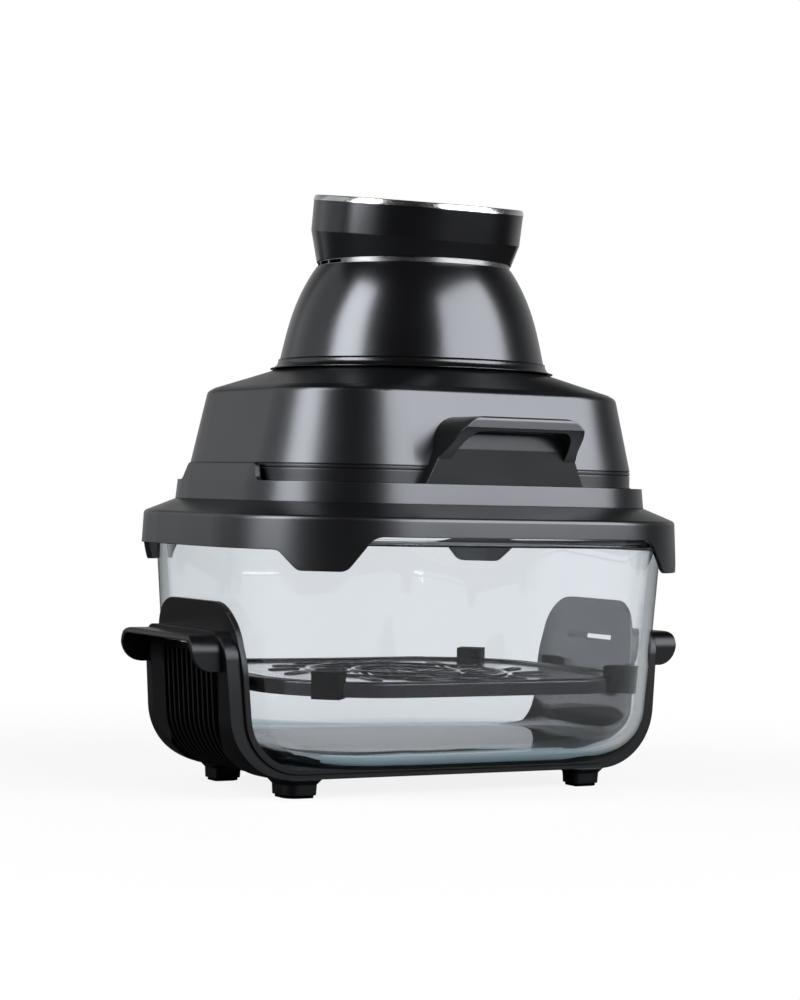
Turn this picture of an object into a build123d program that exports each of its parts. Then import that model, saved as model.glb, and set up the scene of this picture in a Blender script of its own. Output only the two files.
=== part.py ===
"""Glass air fryer: a lift-off heater head on a glass tub, a crisper plate, and a cradle on feet.

Millimetres. X runs along the long side, the front faces -Y, and Z is up from the table.
Plan outlines are given as an outset from the lid band's outline, and heights from the table.
"""

import os
from math import atan2, cos, degrees, hypot, radians, sin, tan

from build123d import *

# Plan of the lid band, which every other outline follows
BAND_LENGTH = 276.0
BAND_DEPTH = 243.0
BAND_CORNER = 86.5
HALF_LENGTH = BAND_LENGTH / 2
HALF_DEPTH = BAND_DEPTH / 2
CORNER_X = HALF_LENGTH - BAND_CORNER
CORNER_Y = HALF_DEPTH - BAND_CORNER
BEYOND = 200.0

# Glass tub
GLASS_FLOOR = 17.2
GLASS_HEIGHT = 127.3
GLASS_TOP = GLASS_FLOOR + GLASS_HEIGHT
GLASS_TOP_OUTSET = -6.6
GLASS_DRAFT = 4.2
GLASS_WALL = 5.5
GLASS_BASE = 6.0
GLASS_ROUND = 28.0
BEAD_HEIGHT = 8.5
BEAD_OUTSET = GLASS_TOP_OUTSET + 1.6

# Cradle: liner against the glass, shell under it, hoods at the ends, feet
GLASS_GAP = 0.5
PAD_HEIGHT = 1.2
LINER_TOP = GLASS_FLOOR - PAD_HEIGHT
LINER_FLOOR = LINER_TOP - 3.2
LINER_OUTSET = 3.6
LINER_ROUND = GLASS_ROUND + 3.0
STRAP_HALF = 55.0
SHELL_FLOOR = LINER_FLOOR - 2.8
SHELL_HALF = STRAP_HALF - 1.0
SHELL_TOP = SHELL_FLOOR + 78.0
SHELL_ROUND = GLASS_ROUND + 7.0
FLANGE_OUTSET = 11.3
RECESS_FLOOR = SHELL_FLOOR + 2.0
RECESS_OUTSET = 6.0
RECESS_HALF = 34.0
RECESS_MOUTH_HALF = 47.0
RECESS_TOP = SHELL_TOP - 11.0
RECESS_END = HALF_LENGTH - 40.0
RIB_COUNT = 11
RIB_PITCH = 6.0
RIB_WIDTH = 1.6
RIB_OUTSET = RECESS_OUTSET + 3.0
RIB_FLOOR = SHELL_FLOOR + 0.6
SLOT_LENGTH = 50.0
SLOT_LOW = SHELL_TOP - 8.6
SLOT_HIGH = SLOT_LOW + 3.2
HOOD_HALF = 46.0
HOOD_TOP = SHELL_TOP - 2.0
HOOD_LOW = HOOD_TOP - 19.0
HOOD_WALL = 3.0
HOOD_ROOT = HALF_LENGTH - 6.5
HOOD_EDGE = HALF_LENGTH + 15.3
HOOD_NOSE = 12.0
FOOT_X = HALF_LENGTH - 47.2
FOOT_Y = STRAP_HALF - 11.5
FOOT_SIZE = 20.0
FOOT_ROUND = 9.0
FOOT_FLARE = 2.5
FOOT_PAD = 1.6

# Crisper plate and its corner bumpers
TRAY_TOP = GLASS_FLOOR + 45.3
TRAY_THICK = 2.4
TRAY_OUTSET = -28.0
TRAY_LIP = 4.0
BUMPER_LOW = TRAY_TOP - 7.1
BUMPER_HIGH = TRAY_TOP + 7.2
BUMPER_WIDTH = 14.6
BUMPER_TURN = 49.0
BUMPER_GRIP = 7.0
BUMPER_GAP = 0.4

# Lid rim, collar and the housings above
LID_WALL = 2.6
COVER_LOW = GLASS_TOP + 2.0
COVER_THICK = 1.5
COVER_OUTSET = -3.4
FOLD_HEIGHT = GLASS_TOP + 5.0
TAB_LOW = FOLD_HEIGHT - 27.8
SIDE_LOW = FOLD_HEIGHT - 17.5
FRONT_LOW = FOLD_HEIGHT - 9.8
RIM_FLARE = 1.4
COLLAR_OUTSET = -17.4
COLLAR_LOW = FOLD_HEIGHT + 7.1
LEDGE_OUTSET = COLLAR_OUTSET - 1.1
LEDGE = COLLAR_LOW + 10.8
WING_OUTSET = COLLAR_OUTSET - 3.4
SEAM = LEDGE + 9.4
WING_HALF = 41.0
SKIRT_OUTSET = COLLAR_OUTSET - 8.0
SKIRT_WALL = 2.4
SHELF = SEAM - 0.8
SHOULDER_OUTSET = SKIRT_OUTSET - 8.8
SHOULDER = SEAM + 39.8
NECK_LOW = SHOULDER + 13.3
NECK_RADIUS = HALF_DEPTH - 46.3
NECK_STEPS = [(3.5, 15.6), (7.3, 30.1), (13.2, 45.1), (20.6, 57.7)]
NECK_WALL = 2.4
NECK_TOP = NECK_LOW + NECK_STEPS[-1][1]
VENT_HEIGHT = 2.8
VENT_RADIUS = NECK_RADIUS - 21.4
CAP_TILT = 6.5
CAP_LOW = NECK_TOP + VENT_HEIGHT
CAP_LOW_RADIUS = VENT_RADIUS + 0.7
CAP_FOLD = CAP_LOW + 15.0
CAP_FOLD_RADIUS = VENT_RADIUS + 4.7
CAP_TOP = CAP_FOLD + 16.6
CAP_TOP_RADIUS = VENT_RADIUS + 4.9
CAP_LEAN = 4.0
CAP_WALL = 2.2
CHROME_HEIGHT = 3.0
CHROME_WIDTH = 3.2
PANEL_THICK = 2.4
BOARD_THICK = 1.6

# Front grip
GRIP_HALF_LOW = 48.5
GRIP_HALF_HIGH = 40.0
GRIP_BEND = LEDGE + 18.6
GRIP_TOP = LEDGE + 35.6
GRIP_CORNER = 36.5
GRIP_FACE = 17.1 - HALF_DEPTH
GRIP_ROOT = 1.3
BROW_REACH = -0.4 - HALF_DEPTH
BROW_LOW = LEDGE + 13.6
BROW_BEND = LEDGE + 29.6
BROW_THICK = 7.5

# Underside of the head, from the mounting plate's shelf down, and the motor above it
MOUTH_RADIUS = HALF_DEPTH - 37.5
GUARD_LOW = COVER_LOW - 5.5
GUARD_SLOT = 6.0
GUARD_WEB = 14.0
GUARD_RINGS = (0.225, 0.3875, 0.55, 0.7125, 0.875)
SHEET = 1.0
DISH_TOP = SHELF - 6.0
FAN_HIGH = DISH_TOP - 3.5
FAN_LOW = FAN_HIGH - 11.0
FAN_BLADES = 8
COIL_HEIGHT = FAN_LOW - 6.3
COIL_TUBE = 3.2
COIL_OUTER = MOUTH_RADIUS - 14.0
COIL_INNER = COIL_OUTER - 18.0
FAN_RADIUS = COIL_OUTER - 10.0
PLATE_THICK = 1.5
SHAFT_RADIUS = 3.0
SHAFT_GAP = 0.06
BRACKET_TOP = SHELF + 14.0
MOTOR_RADIUS = 30.0
MOTOR_TOP = BRACKET_TOP + 46.0
COOLER_LOW = MOTOR_TOP + 7.0
COOLER_HIGH = COOLER_LOW + 11.0
COOLER_RADIUS = 42.0
COOLER_BLADES = 7
BODY_BACK = HALF_DEPTH + SKIRT_OUTSET
GLAND_HEIGHT = SEAM + 20.2
GLAND_IN = BODY_BACK - 14.1
GLAND_OUT = BODY_BACK + 2.9
GLAND_NECK = 8.0
GLAND_FLANGE = 11.0
GLAND_BORE = 3.6
SCREW_RADIUS = 1.5
HEAD_SCREW = (HALF_LENGTH - 43.2, HALF_DEPTH - 43.2)
BASE_SCREW = (HALF_LENGTH - 90.0, STRAP_HALF - 19.0)


def glass_outset(height):
    """Outset of the glass's outer wall, which leans out as it rises."""
    return GLASS_TOP_OUTSET - (GLASS_TOP - height) * tan(radians(GLASS_DRAFT))


def plan_outline(height, outset):
    """The lid band's rounded outline, moved out by an outset, at a height."""
    with BuildSketch(Plane.XY.offset(height)) as outline:
        RectangleRounded(BAND_LENGTH + 2 * outset, BAND_DEPTH + 2 * outset, BAND_CORNER + outset)
    return outline.sketch


def closed_face(plane, points, rounds=()):
    """Face through points on a plane, with the corners named in rounds filleted."""
    with BuildSketch(plane) as face:
        with BuildLine():
            Polyline(points, close=True)
        make_face()
        for corner, radius in rounds:
            fillet(face.vertices().sort_by_distance(corner)[0], radius)
    return face.sketch


def carried_round(points, rounds=()):
    """Carry a section of (outset, height) points right round the lid's plan."""
    front = Plane((CORNER_X, -HALF_DEPTH, 0), x_dir=(0, -1, 0), z_dir=(-1, 0, 0))
    side = Plane((HALF_LENGTH, -CORNER_Y, 0), x_dir=(1, 0, 0), z_dir=(0, -1, 0))
    with BuildPart() as ring:
        extrude(closed_face(front, points, rounds), amount=CORNER_X)
        revolve(closed_face(front, points, rounds), Axis((CORNER_X, -CORNER_Y, 0), (0, 0, 1)), 90)
        extrude(closed_face(side, points, rounds), amount=-CORNER_Y)
        mirror(about=Plane.YZ)
        mirror(about=Plane.XZ)
    return ring.part


def tub(outset, floor, top, bottom_round):
    """Block that follows the outside of the glass at a distance, its bottom edge rounded."""
    with BuildPart() as block:
        extrude(plan_outline(floor, glass_outset(floor) + outset), amount=top - floor, taper=-GLASS_DRAFT)
        fillet(block.faces().sort_by(Axis.Z)[0].edges(), bottom_round)
    return block.part


def through_x(points, rounds=()):
    """Prism along X from an outline of (Y, Z) points."""
    with BuildPart() as prism:
        extrude(closed_face(Plane.YZ, points, rounds), amount=BEYOND, both=True)
    return prism.part


def through_y(points, rounds=()):
    """Prism along Y from an outline of (X, Z) points."""
    with BuildPart() as prism:
        extrude(closed_face(Plane.XZ, points, rounds), amount=BEYOND, both=True)
    return prism.part


def both_sides(points):
    """Outline that is the same left and right, from the points of its right half, bottom first."""
    return points + [(-x, y) for x, y in reversed(points)]


def both_rounds(rounds):
    """The same fillets left and right."""
    return [((side * x, y), radius) for (x, y), radius in rounds for side in (1, -1)]


def screws(places, head_low, head_high, head_radius, tip):
    """Screws with their heads down, one at each place."""
    with BuildPart() as group:
        with BuildSketch(Plane.XY.offset(head_low)):
            with Locations(*places):
                Circle(head_radius)
        extrude(amount=head_high - head_low)
        with BuildSketch(Plane.XY.offset(head_high)):
            with Locations(*places):
                Circle(SCREW_RADIUS)
        extrude(amount=tip - head_high)
    return group.part


def four(place):
    """The four mirrored places of one in the front right quarter."""
    return [(x * place[0], y * place[1]) for x in (-1, 1) for y in (-1, 1)]


def finish(piece, label):
    """Name a piece and write it."""
    piece.part.label = label
    export_step(piece.part, f"parts/{label}.step")


os.makedirs("parts", exist_ok=True)

# Glass container: drafted tub with a thick rounded bottom and a bead round its rim
with BuildPart() as glass_container:
    add(tub(0, GLASS_FLOOR, GLASS_TOP, GLASS_ROUND))
    bead_low = GLASS_TOP - BEAD_HEIGHT
    add(
        carried_round(
            [
                (BEAD_OUTSET - 3, bead_low - 1),
                (BEAD_OUTSET, bead_low),
                (BEAD_OUTSET, GLASS_TOP),
                (BEAD_OUTSET - 3, GLASS_TOP),
            ],
            [((BEAD_OUTSET, GLASS_TOP), 1.5), ((BEAD_OUTSET, bead_low), 1.2)],
        )
    )
    add(
        tub(-GLASS_WALL, GLASS_FLOOR + GLASS_BASE, GLASS_TOP + 1, GLASS_ROUND - GLASS_WALL),
        mode=Mode.SUBTRACT,
    )
finish(glass_container, "glass_container")

# Cradle liner: strap under the glass with a rounded plate standing at each end
liner_peak = SHELL_TOP + 15
liner_bend = SHELL_TOP - 18
liner_outline = both_sides(
    [(STRAP_HALF, 5), (STRAP_HALF - 2, liner_bend), (STRAP_HALF - 10, liner_peak)]
)
liner_rounds = both_rounds(
    [((STRAP_HALF - 10, liner_peak), 25), ((STRAP_HALF - 2, liner_bend), 40)]
)
slot_outline = [
    (-SLOT_LENGTH / 2, SLOT_LOW),
    (SLOT_LENGTH / 2, SLOT_LOW),
    (SLOT_LENGTH / 2, SLOT_HIGH),
    (-SLOT_LENGTH / 2, SLOT_HIGH),
]
with BuildPart() as cradle_liner:
    add(tub(LINER_OUTSET, LINER_FLOOR, liner_peak + 7, LINER_ROUND))
    add(through_x(liner_outline, liner_rounds), mode=Mode.INTERSECT)
    add(tub(GLASS_GAP, LINER_TOP, liner_peak + 8, GLASS_ROUND + GLASS_GAP), mode=Mode.SUBTRACT)
    add(through_x(slot_outline), mode=Mode.SUBTRACT)
    with BuildSketch(Plane.XY.offset(LINER_FLOOR)):
        with Locations(*four(BASE_SCREW)):
            Circle(SCREW_RADIUS)
    extrude(amount=2.4, mode=Mode.SUBTRACT)
finish(cradle_liner, "cradle_liner")

with BuildPart() as glass_pads:
    with BuildSketch(Plane.XY.offset(LINER_TOP)):
        with Locations(*four((FOOT_X - 18.8, FOOT_Y - 5.5))):
            RectangleRounded(22, 9, 3)
    extrude(amount=PAD_HEIGHT)
finish(glass_pads, "glass_pads")


def rib_band():
    """Section of one rib: it stands on the recess floor and follows the bend under the end."""

    def side_x(height, outset):
        return HALF_LENGTH + glass_outset(height) + outset

    top = RECESS_TOP - 1
    inner = RECESS_OUTSET - 0.6
    inner_floor = RECESS_FLOOR + 0.6
    with BuildSketch(Plane.XZ) as band:
        with BuildLine():
            Polyline(
                (RECESS_END, RIB_FLOOR),
                (side_x(RIB_FLOOR, RIB_OUTSET), RIB_FLOOR),
                (side_x(top, RIB_OUTSET), top),
                (RECESS_END, top),
                close=True,
            )
        make_face()
        fillet(band.vertices().sort_by_distance((side_x(RIB_FLOOR, RIB_OUTSET), RIB_FLOOR))[0], 33)
        with BuildSketch(mode=Mode.PRIVATE) as hollow:
            with BuildLine():
                Polyline(
                    (RECESS_END - 5, inner_floor),
                    (side_x(inner_floor, inner), inner_floor),
                    (side_x(top + 5, inner), top + 5),
                    (RECESS_END - 5, top + 5),
                    close=True,
                )
            make_face()
            fillet(hollow.vertices().sort_by_distance((side_x(inner_floor, inner), inner_floor))[0], 31)
        add(hollow.sketch, mode=Mode.SUBTRACT)
    return band.sketch


def end_ribs():
    """Row of upright ribs in the recess of each end."""
    with BuildPart() as ribs:
        for index in range(RIB_COUNT):
            across = (index - (RIB_COUNT - 1) / 2) * RIB_PITCH
            extrude(rib_band().moved(Location((0, across, 0))), amount=RIB_WIDTH / 2, both=True)
        mirror(about=Plane.YZ)
    return ribs.part


def end_recesses():
    """Dished recess in each end, wide at its mouth, running on under the bend."""

    def mouth(half, top):
        return both_sides([(half, 0), (half, top)])

    cutter_end = HALF_LENGTH - 11
    with BuildPart() as cutter:
        loft(
            [
                closed_face(
                    Plane.YZ.offset(HALF_LENGTH + 7),
                    mouth(RECESS_MOUTH_HALF + 4, RECESS_TOP + 6),
                    both_rounds([((RECESS_MOUTH_HALF + 4, RECESS_TOP + 6), 14)]),
                ),
                closed_face(
                    Plane.YZ.offset(cutter_end),
                    mouth(RECESS_HALF, RECESS_TOP),
                    both_rounds([((RECESS_HALF, RECESS_TOP), 10)]),
                ),
            ],
            ruled=True,
        )
        under_mouth = closed_face(Plane.YZ.offset(cutter_end), mouth(RECESS_HALF, 45))
        extrude(under_mouth, amount=RECESS_END - cutter_end)
        mirror(about=Plane.YZ)
    return cutter.part


def foot_plans(height, inward):
    """Plans of the four feet, their outer end corner and the one across from it well rounded."""
    half = FOOT_SIZE / 2 - inward
    with BuildSketch(Plane.XY.offset(height)) as plans:
        for way_x, way_y in four((1, 1)):
            near_x, far_x = way_x * (FOOT_X - half), way_x * (FOOT_X + half)
            near_y, far_y = way_y * (FOOT_Y - half), way_y * (FOOT_Y + half)
            corners = [(near_x, near_y), (far_x, near_y), (far_x, far_y), (near_x, far_y)]
            big, small = FOOT_ROUND - inward, 3.5 - inward
            rounds = [(corner, (big, small)[index % 2]) for index, corner in enumerate(corners)]
            with BuildSketch(mode=Mode.PRIVATE) as plan:
                add(closed_face(Plane.XY, corners, rounds))
            add(plan.sketch)
    return plans.sketch


# Base shell: outer strap with dished, ribbed ends and four feet
shell_outline = both_sides([(SHELL_HALF, 5), (SHELL_HALF - 2.5, 60), (SHELL_HALF - 4, SHELL_TOP)])
shell_rounds = both_rounds([((SHELL_HALF - 4, SHELL_TOP), 15)])
with BuildPart() as base_shell:
    add(tub(FLANGE_OUTSET, SHELL_FLOOR, SHELL_TOP + 12, SHELL_ROUND))
    add(end_recesses(), mode=Mode.SUBTRACT)
    add(tub(RECESS_OUTSET, RECESS_FLOOR, SHELL_TOP + 11, LINER_ROUND))
    add(end_ribs())
    add(through_x(shell_outline, shell_rounds), mode=Mode.INTERSECT)
    add(tub(LINER_OUTSET, LINER_FLOOR, SHELL_TOP + 22, LINER_ROUND), mode=Mode.SUBTRACT)
    add(through_x(slot_outline), mode=Mode.SUBTRACT)
    extrude(foot_plans(SHELL_FLOOR + 1, 0), amount=FOOT_PAD - SHELL_FLOOR - 1, taper=4)
    extrude(foot_plans(SHELL_FLOOR, -FOOT_FLARE), amount=-FOOT_FLARE, taper=44)
    with BuildSketch(Plane.XY.offset(SHELL_FLOOR)):
        with Locations(*four(BASE_SCREW)):
            Circle(SCREW_RADIUS)
    extrude(amount=5, mode=Mode.SUBTRACT)
finish(base_shell, "base_shell")

with BuildPart() as foot_pads:
    extrude(foot_plans(0, 2), amount=FOOT_PAD)
finish(foot_pads, "foot_pads")

with BuildPart() as base_screws:
    add(screws(four(BASE_SCREW), SHELL_FLOOR - 1.8, SHELL_FLOOR, 2.9, LINER_FLOOR + 2.4))
finish(base_screws, "base_screws")

# End handles: an arched hood with a round nose, open below for the fingers
with BuildPart() as right_handle:
    inner_half = HOOD_HALF - HOOD_WALL
    inner_top = HOOD_TOP - HOOD_WALL
    arch = closed_face(
        Plane.YZ.offset(HOOD_ROOT),
        both_sides([(HOOD_HALF, HOOD_LOW), (HOOD_HALF, HOOD_TOP)]),
        both_rounds([((HOOD_HALF, HOOD_TOP), 9)]),
    )
    extrude(arch, amount=HOOD_EDGE - HOOD_ROOT)
    hollow = closed_face(
        Plane.YZ.offset(HOOD_ROOT),
        both_sides([(inner_half, HOOD_LOW), (inner_half, inner_top)]),
        both_rounds([((inner_half, inner_top), 6)]),
    )
    extrude(hollow, amount=HOOD_EDGE - HOOD_ROOT, mode=Mode.SUBTRACT)
    nose_x = HOOD_EDGE - HOOD_NOSE
    hood_back = HOOD_ROOT - 11.5
    side_view = closed_face(
        Plane.XZ,
        [(hood_back, HOOD_LOW), (HOOD_EDGE, HOOD_LOW), (HOOD_EDGE, HOOD_TOP), (hood_back, HOOD_TOP)],
        [((HOOD_EDGE, HOOD_LOW), HOOD_NOSE), ((HOOD_EDGE, HOOD_TOP), 2.6)],
    )
    extrude(side_view, amount=BEYOND, both=True, mode=Mode.INTERSECT)
    add(base_shell.part, mode=Mode.SUBTRACT)
finish(right_handle, "right_handle")

with BuildPart() as left_handle:
    mirror(right_handle.part, about=Plane.YZ)
finish(left_handle, "left_handle")


# Crisper plate: a lipped plate with two rings of slanted slots, held by corner bumpers
def slanted_slots(count, ring_radius, length, width, slant):
    """One ring of slots, each turned from the radial direction."""
    with BuildSketch(Plane.XY.offset(TRAY_TOP - TRAY_THICK)) as slots:
        for index in range(count):
            with PolarLocations(ring_radius, 1, start_angle=index * 360 / count):
                SlotOverall(length, width, rotation=slant)
    return slots.sketch


tray_low = TRAY_TOP - TRAY_THICK
with BuildPart() as crisper_plate:
    extrude(plan_outline(tray_low, TRAY_OUTSET), amount=TRAY_THICK)
    add(
        carried_round(
            [
                (TRAY_OUTSET - 2.4, tray_low - TRAY_LIP),
                (TRAY_OUTSET, tray_low - TRAY_LIP),
                (TRAY_OUTSET, tray_low + 1),
                (TRAY_OUTSET - 2.4, tray_low + 1),
            ]
        )
    )
    for slot_count, ring_radius in ((6, 17), (12, 42), (16, 69)):
        slots = slanted_slots(slot_count, ring_radius, 20, 4.2, 38)
        extrude(slots, amount=TRAY_THICK, mode=Mode.SUBTRACT)
finish(crisper_plate, "crisper_plate")

with BuildPart() as tray_bumpers:
    bumper_reach = BAND_CORNER + glass_outset(BUMPER_HIGH) - GLASS_WALL + 4
    bumper_root = BAND_CORNER + TRAY_OUTSET - BUMPER_GRIP
    corner_places = [(CORNER_X, CORNER_Y, BUMPER_TURN), (-CORNER_X, CORNER_Y, 180 - BUMPER_TURN)]
    corner_places += [(-CORNER_X, -CORNER_Y, 180 + BUMPER_TURN), (CORNER_X, -CORNER_Y, -BUMPER_TURN)]
    for corner_x, corner_y, turn in corner_places:
        with BuildSketch(Plane((corner_x, corner_y, BUMPER_LOW)).rotated((0, 0, turn))):
            with Locations(((bumper_root + bumper_reach) / 2, 0)):
                RectangleRounded(bumper_reach - bumper_root, BUMPER_WIDTH, 1.5)
        extrude(amount=BUMPER_HIGH - BUMPER_LOW)
    add(
        tub(-GLASS_WALL - BUMPER_GAP, GLASS_FLOOR + GLASS_BASE, TRAY_TOP + 27, GLASS_ROUND - GLASS_WALL),
        mode=Mode.INTERSECT,
    )
    add(crisper_plate.part, mode=Mode.SUBTRACT)
finish(tray_bumpers, "tray_bumpers")

# Lid rim: band with four corner tabs, a sloping top, and an inner rib that the cover meets
with BuildPart() as lid_rim:
    add(
        carried_round(
            [
                (RIM_FLARE, TAB_LOW),
                (0, FOLD_HEIGHT),
                (COLLAR_OUTSET, COLLAR_LOW),
                (COLLAR_OUTSET - 4, COLLAR_LOW),
                (COLLAR_OUTSET - 4, COLLAR_LOW - LID_WALL),
                (COLLAR_OUTSET, COLLAR_LOW - LID_WALL),
                (-LID_WALL, COVER_LOW + COVER_THICK),
                (RIM_FLARE - LID_WALL, TAB_LOW),
            ],
            [((0, FOLD_HEIGHT), 2.6)],
        )
    )
    inner_rib = [(-12, COVER_LOW + COVER_THICK), (-12, FOLD_HEIGHT + 3.5)]
    inner_rib += [(-14, FOLD_HEIGHT + 4.1), (-14, COVER_LOW + COVER_THICK)]
    add(carried_round(inner_rib))
    tab_x, tab_y = HALF_LENGTH - 40, HALF_DEPTH - 28.5
    front_points = [(tab_x + 5, 100), (tab_x + 5, TAB_LOW), (tab_x, TAB_LOW), (tab_x - 13, FRONT_LOW)]
    add(
        through_y(
            both_sides(front_points), both_rounds([((tab_x, TAB_LOW), 6), ((tab_x - 13, FRONT_LOW), 9)])
        ),
        mode=Mode.SUBTRACT,
    )
    side_points = [(tab_y + 5, 100), (tab_y + 5, TAB_LOW), (tab_y, TAB_LOW), (tab_y - 9.5, SIDE_LOW)]
    add(
        through_x(
            both_sides(side_points), both_rounds([((tab_y, TAB_LOW), 4), ((tab_y - 9.5, SIDE_LOW), 5)])
        ),
        mode=Mode.SUBTRACT,
    )
finish(lid_rim, "lid_rim")

# Lid collar: leaning wall with a raised wing at each end, a ledge, and four screw posts
with BuildPart() as lid_collar:
    add(
        carried_round(
            [
                (COLLAR_OUTSET, COLLAR_LOW),
                (LEDGE_OUTSET, LEDGE),
                (WING_OUTSET, SEAM),
                (WING_OUTSET - LID_WALL, SEAM),
                (LEDGE_OUTSET - LID_WALL, LEDGE),
                (COLLAR_OUTSET - LID_WALL, COLLAR_LOW),
            ],
            [((WING_OUTSET, SEAM), 1.0)],
        )
    )
    for side in (1, -1):
        wing_top, above = SEAM + 0.1, SEAM + 13
        outline = [(BEYOND, LEDGE), (WING_HALF + 5, LEDGE), (WING_HALF, wing_top)]
        outline += [(WING_HALF - 6, wing_top), (WING_HALF - 6, above), (BEYOND, above)]
        outline = [(side * y, z) for y, z in outline]
        rounds = [((side * (WING_HALF + 5), LEDGE), 4), ((side * WING_HALF, wing_top), 4)]
        add(through_x(outline, rounds), mode=Mode.SUBTRACT)
    add(
        carried_round(
            [
                (LEDGE_OUTSET - 1.5, LEDGE - 2.4),
                (LEDGE_OUTSET - 1.5, LEDGE),
                (SKIRT_OUTSET - SKIRT_WALL, LEDGE),
                (SKIRT_OUTSET - SKIRT_WALL, LEDGE - 2.4),
            ]
        )
    )
    with BuildSketch(Plane.XY.offset(COVER_LOW + COVER_THICK)):
        with Locations(*four(HEAD_SCREW)):
            Circle(3.6)
    extrude(amount=LEDGE - 1 - COVER_LOW - COVER_THICK)
    with BuildSketch(Plane.XY.offset(COVER_LOW)):
        with Locations(*four(HEAD_SCREW)):
            Circle(SCREW_RADIUS)
    extrude(amount=12, mode=Mode.SUBTRACT)
finish(lid_collar, "lid_collar")

# Skirt band between the collar and the body, with a shelf for the mounting plate
with BuildPart() as skirt_band:
    groove = 0.5
    skirt_inner = SKIRT_OUTSET - SKIRT_WALL
    add(
        carried_round(
            [
                (SKIRT_OUTSET, LEDGE),
                (SKIRT_OUTSET, SEAM - 2.6),
                (SKIRT_OUTSET - groove, SEAM - 2.6),
                (SKIRT_OUTSET - groove, SEAM - 2.1),
                (SKIRT_OUTSET, SEAM - 2.1),
                (SKIRT_OUTSET, SEAM - 0.5),
                (SKIRT_OUTSET - groove, SEAM - 0.5),
                (SKIRT_OUTSET - groove, SEAM),
                (skirt_inner, SEAM),
                (skirt_inner, SHELF),
                (skirt_inner - 7, SHELF),
                (skirt_inner - 7, SHELF - SKIRT_WALL),
                (skirt_inner, SHELF - SKIRT_WALL),
                (skirt_inner, LEDGE),
            ]
        )
    )
finish(skirt_band, "skirt_band")


def neck_outline(height):
    """Circle under the neck, in eight arcs that match the sides and corners of the body's plan."""
    side_x, side_y = HALF_LENGTH + SHOULDER_OUTSET, CORNER_Y
    front_x, front_y = CORNER_X, HALF_DEPTH + SHOULDER_OUTSET
    low, high = degrees(atan2(side_y, side_x)), degrees(atan2(front_y, front_x))
    bounds = [low, high, 180 - high, 180 - low, 180 + low, 180 + high, 360 - high, 360 - low, 360 + low]
    with BuildSketch(Plane.XY.offset(height)) as circle:
        with BuildLine():
            for start, end in zip(bounds, bounds[1:]):
                CenterArc((0, 0), NECK_RADIUS, start, end - start)
        make_face()
    return circle.sketch


# Body shell: leaning walls, a rounded fold, and a shoulder that runs up to the neck's circle
with BuildPart() as body_shell:
    wall_end = SHOULDER_OUTSET - 4
    fold_rise = 2.3
    add(
        carried_round(
            [
                (SKIRT_OUTSET, SEAM),
                (SHOULDER_OUTSET, SHOULDER),
                (wall_end, SHOULDER + fold_rise),
                (wall_end, SHOULDER + fold_rise - SKIRT_WALL),
                (SHOULDER_OUTSET - SKIRT_WALL + 0.6, SHOULDER - SKIRT_WALL),
                (SKIRT_OUTSET - SKIRT_WALL, SEAM),
            ],
            [((SHOULDER_OUTSET, SHOULDER), 3.5)],
        )
    )
    shoulder_low = SHOULDER + fold_rise - SKIRT_WALL
    extrude(plan_outline(shoulder_low, wall_end), amount=SKIRT_WALL)
    loft([plan_outline(SHOULDER + fold_rise, wall_end), neck_outline(NECK_LOW)], ruled=True)
    loft(
        [plan_outline(shoulder_low, wall_end), neck_outline(NECK_LOW - SKIRT_WALL)],
        ruled=True,
        mode=Mode.SUBTRACT,
    )
    with BuildSketch(Plane.XY.offset(SHOULDER)):
        Circle(NECK_RADIUS - NECK_WALL - 2)
    extrude(amount=BEYOND, mode=Mode.SUBTRACT)
    with BuildSketch(Plane.XZ.offset(-GLAND_IN)):
        with Locations((0, GLAND_HEIGHT)):
            Circle(GLAND_NECK)
    extrude(amount=-BEYOND, mode=Mode.SUBTRACT)
finish(body_shell, "body_shell")


def grip_tongue(outline, rounds):
    """Tongue of the front grip, its back let into the wall that it stands against."""
    wall_y = -HALF_DEPTH - SKIRT_OUTSET + GRIP_ROOT
    wall_lean = (SKIRT_OUTSET - SHOULDER_OUTSET) / (SHOULDER - SEAM)
    view = [
        (wall_y, LEDGE),
        (-HALF_DEPTH - LEDGE_OUTSET, LEDGE),
        (GRIP_FACE, GRIP_BEND),
        (GRIP_FACE, GRIP_TOP),
        (wall_y + wall_lean * (GRIP_TOP - SEAM), GRIP_TOP),
        (wall_y, SEAM),
    ]
    with BuildPart() as tongue:
        add(through_y(outline, rounds))
        add(through_x(view), mode=Mode.INTERSECT)
    return tongue.part


# Front grip: a tongue standing on the collar, with a brow over it that the fingers go under
with BuildPart() as front_grip:
    outer = both_sides([(GRIP_HALF_LOW, LEDGE), (GRIP_HALF_HIGH, GRIP_BEND), (GRIP_CORNER, GRIP_TOP)])
    outer_rounds = both_rounds([((GRIP_CORNER, GRIP_TOP), 15), ((GRIP_HALF_HIGH, GRIP_BEND), 12)])
    arch_x, arch_top = GRIP_CORNER - BROW_THICK + 1, GRIP_TOP - BROW_THICK
    inner = both_sides([(GRIP_HALF_HIGH - 3, LEDGE), (GRIP_HALF_HIGH - 6, GRIP_BEND), (arch_x, arch_top)])
    add(through_y(outer, outer_rounds))
    add(through_y(inner, both_rounds([((arch_x, arch_top), 9)])), mode=Mode.SUBTRACT)
    brow_back = GRIP_FACE + 3
    brow = [
        (brow_back, BROW_LOW),
        (GRIP_FACE, BROW_LOW),
        (BROW_REACH, BROW_BEND),
        (BROW_REACH, GRIP_TOP),
        (brow_back, GRIP_TOP),
    ]
    add(through_x(brow, [((BROW_REACH, GRIP_TOP), 2)]), mode=Mode.INTERSECT)
    add(grip_tongue(outer, outer_rounds))
    add(body_shell.part, mode=Mode.SUBTRACT)
    add(skirt_band.part, mode=Mode.SUBTRACT)
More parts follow.
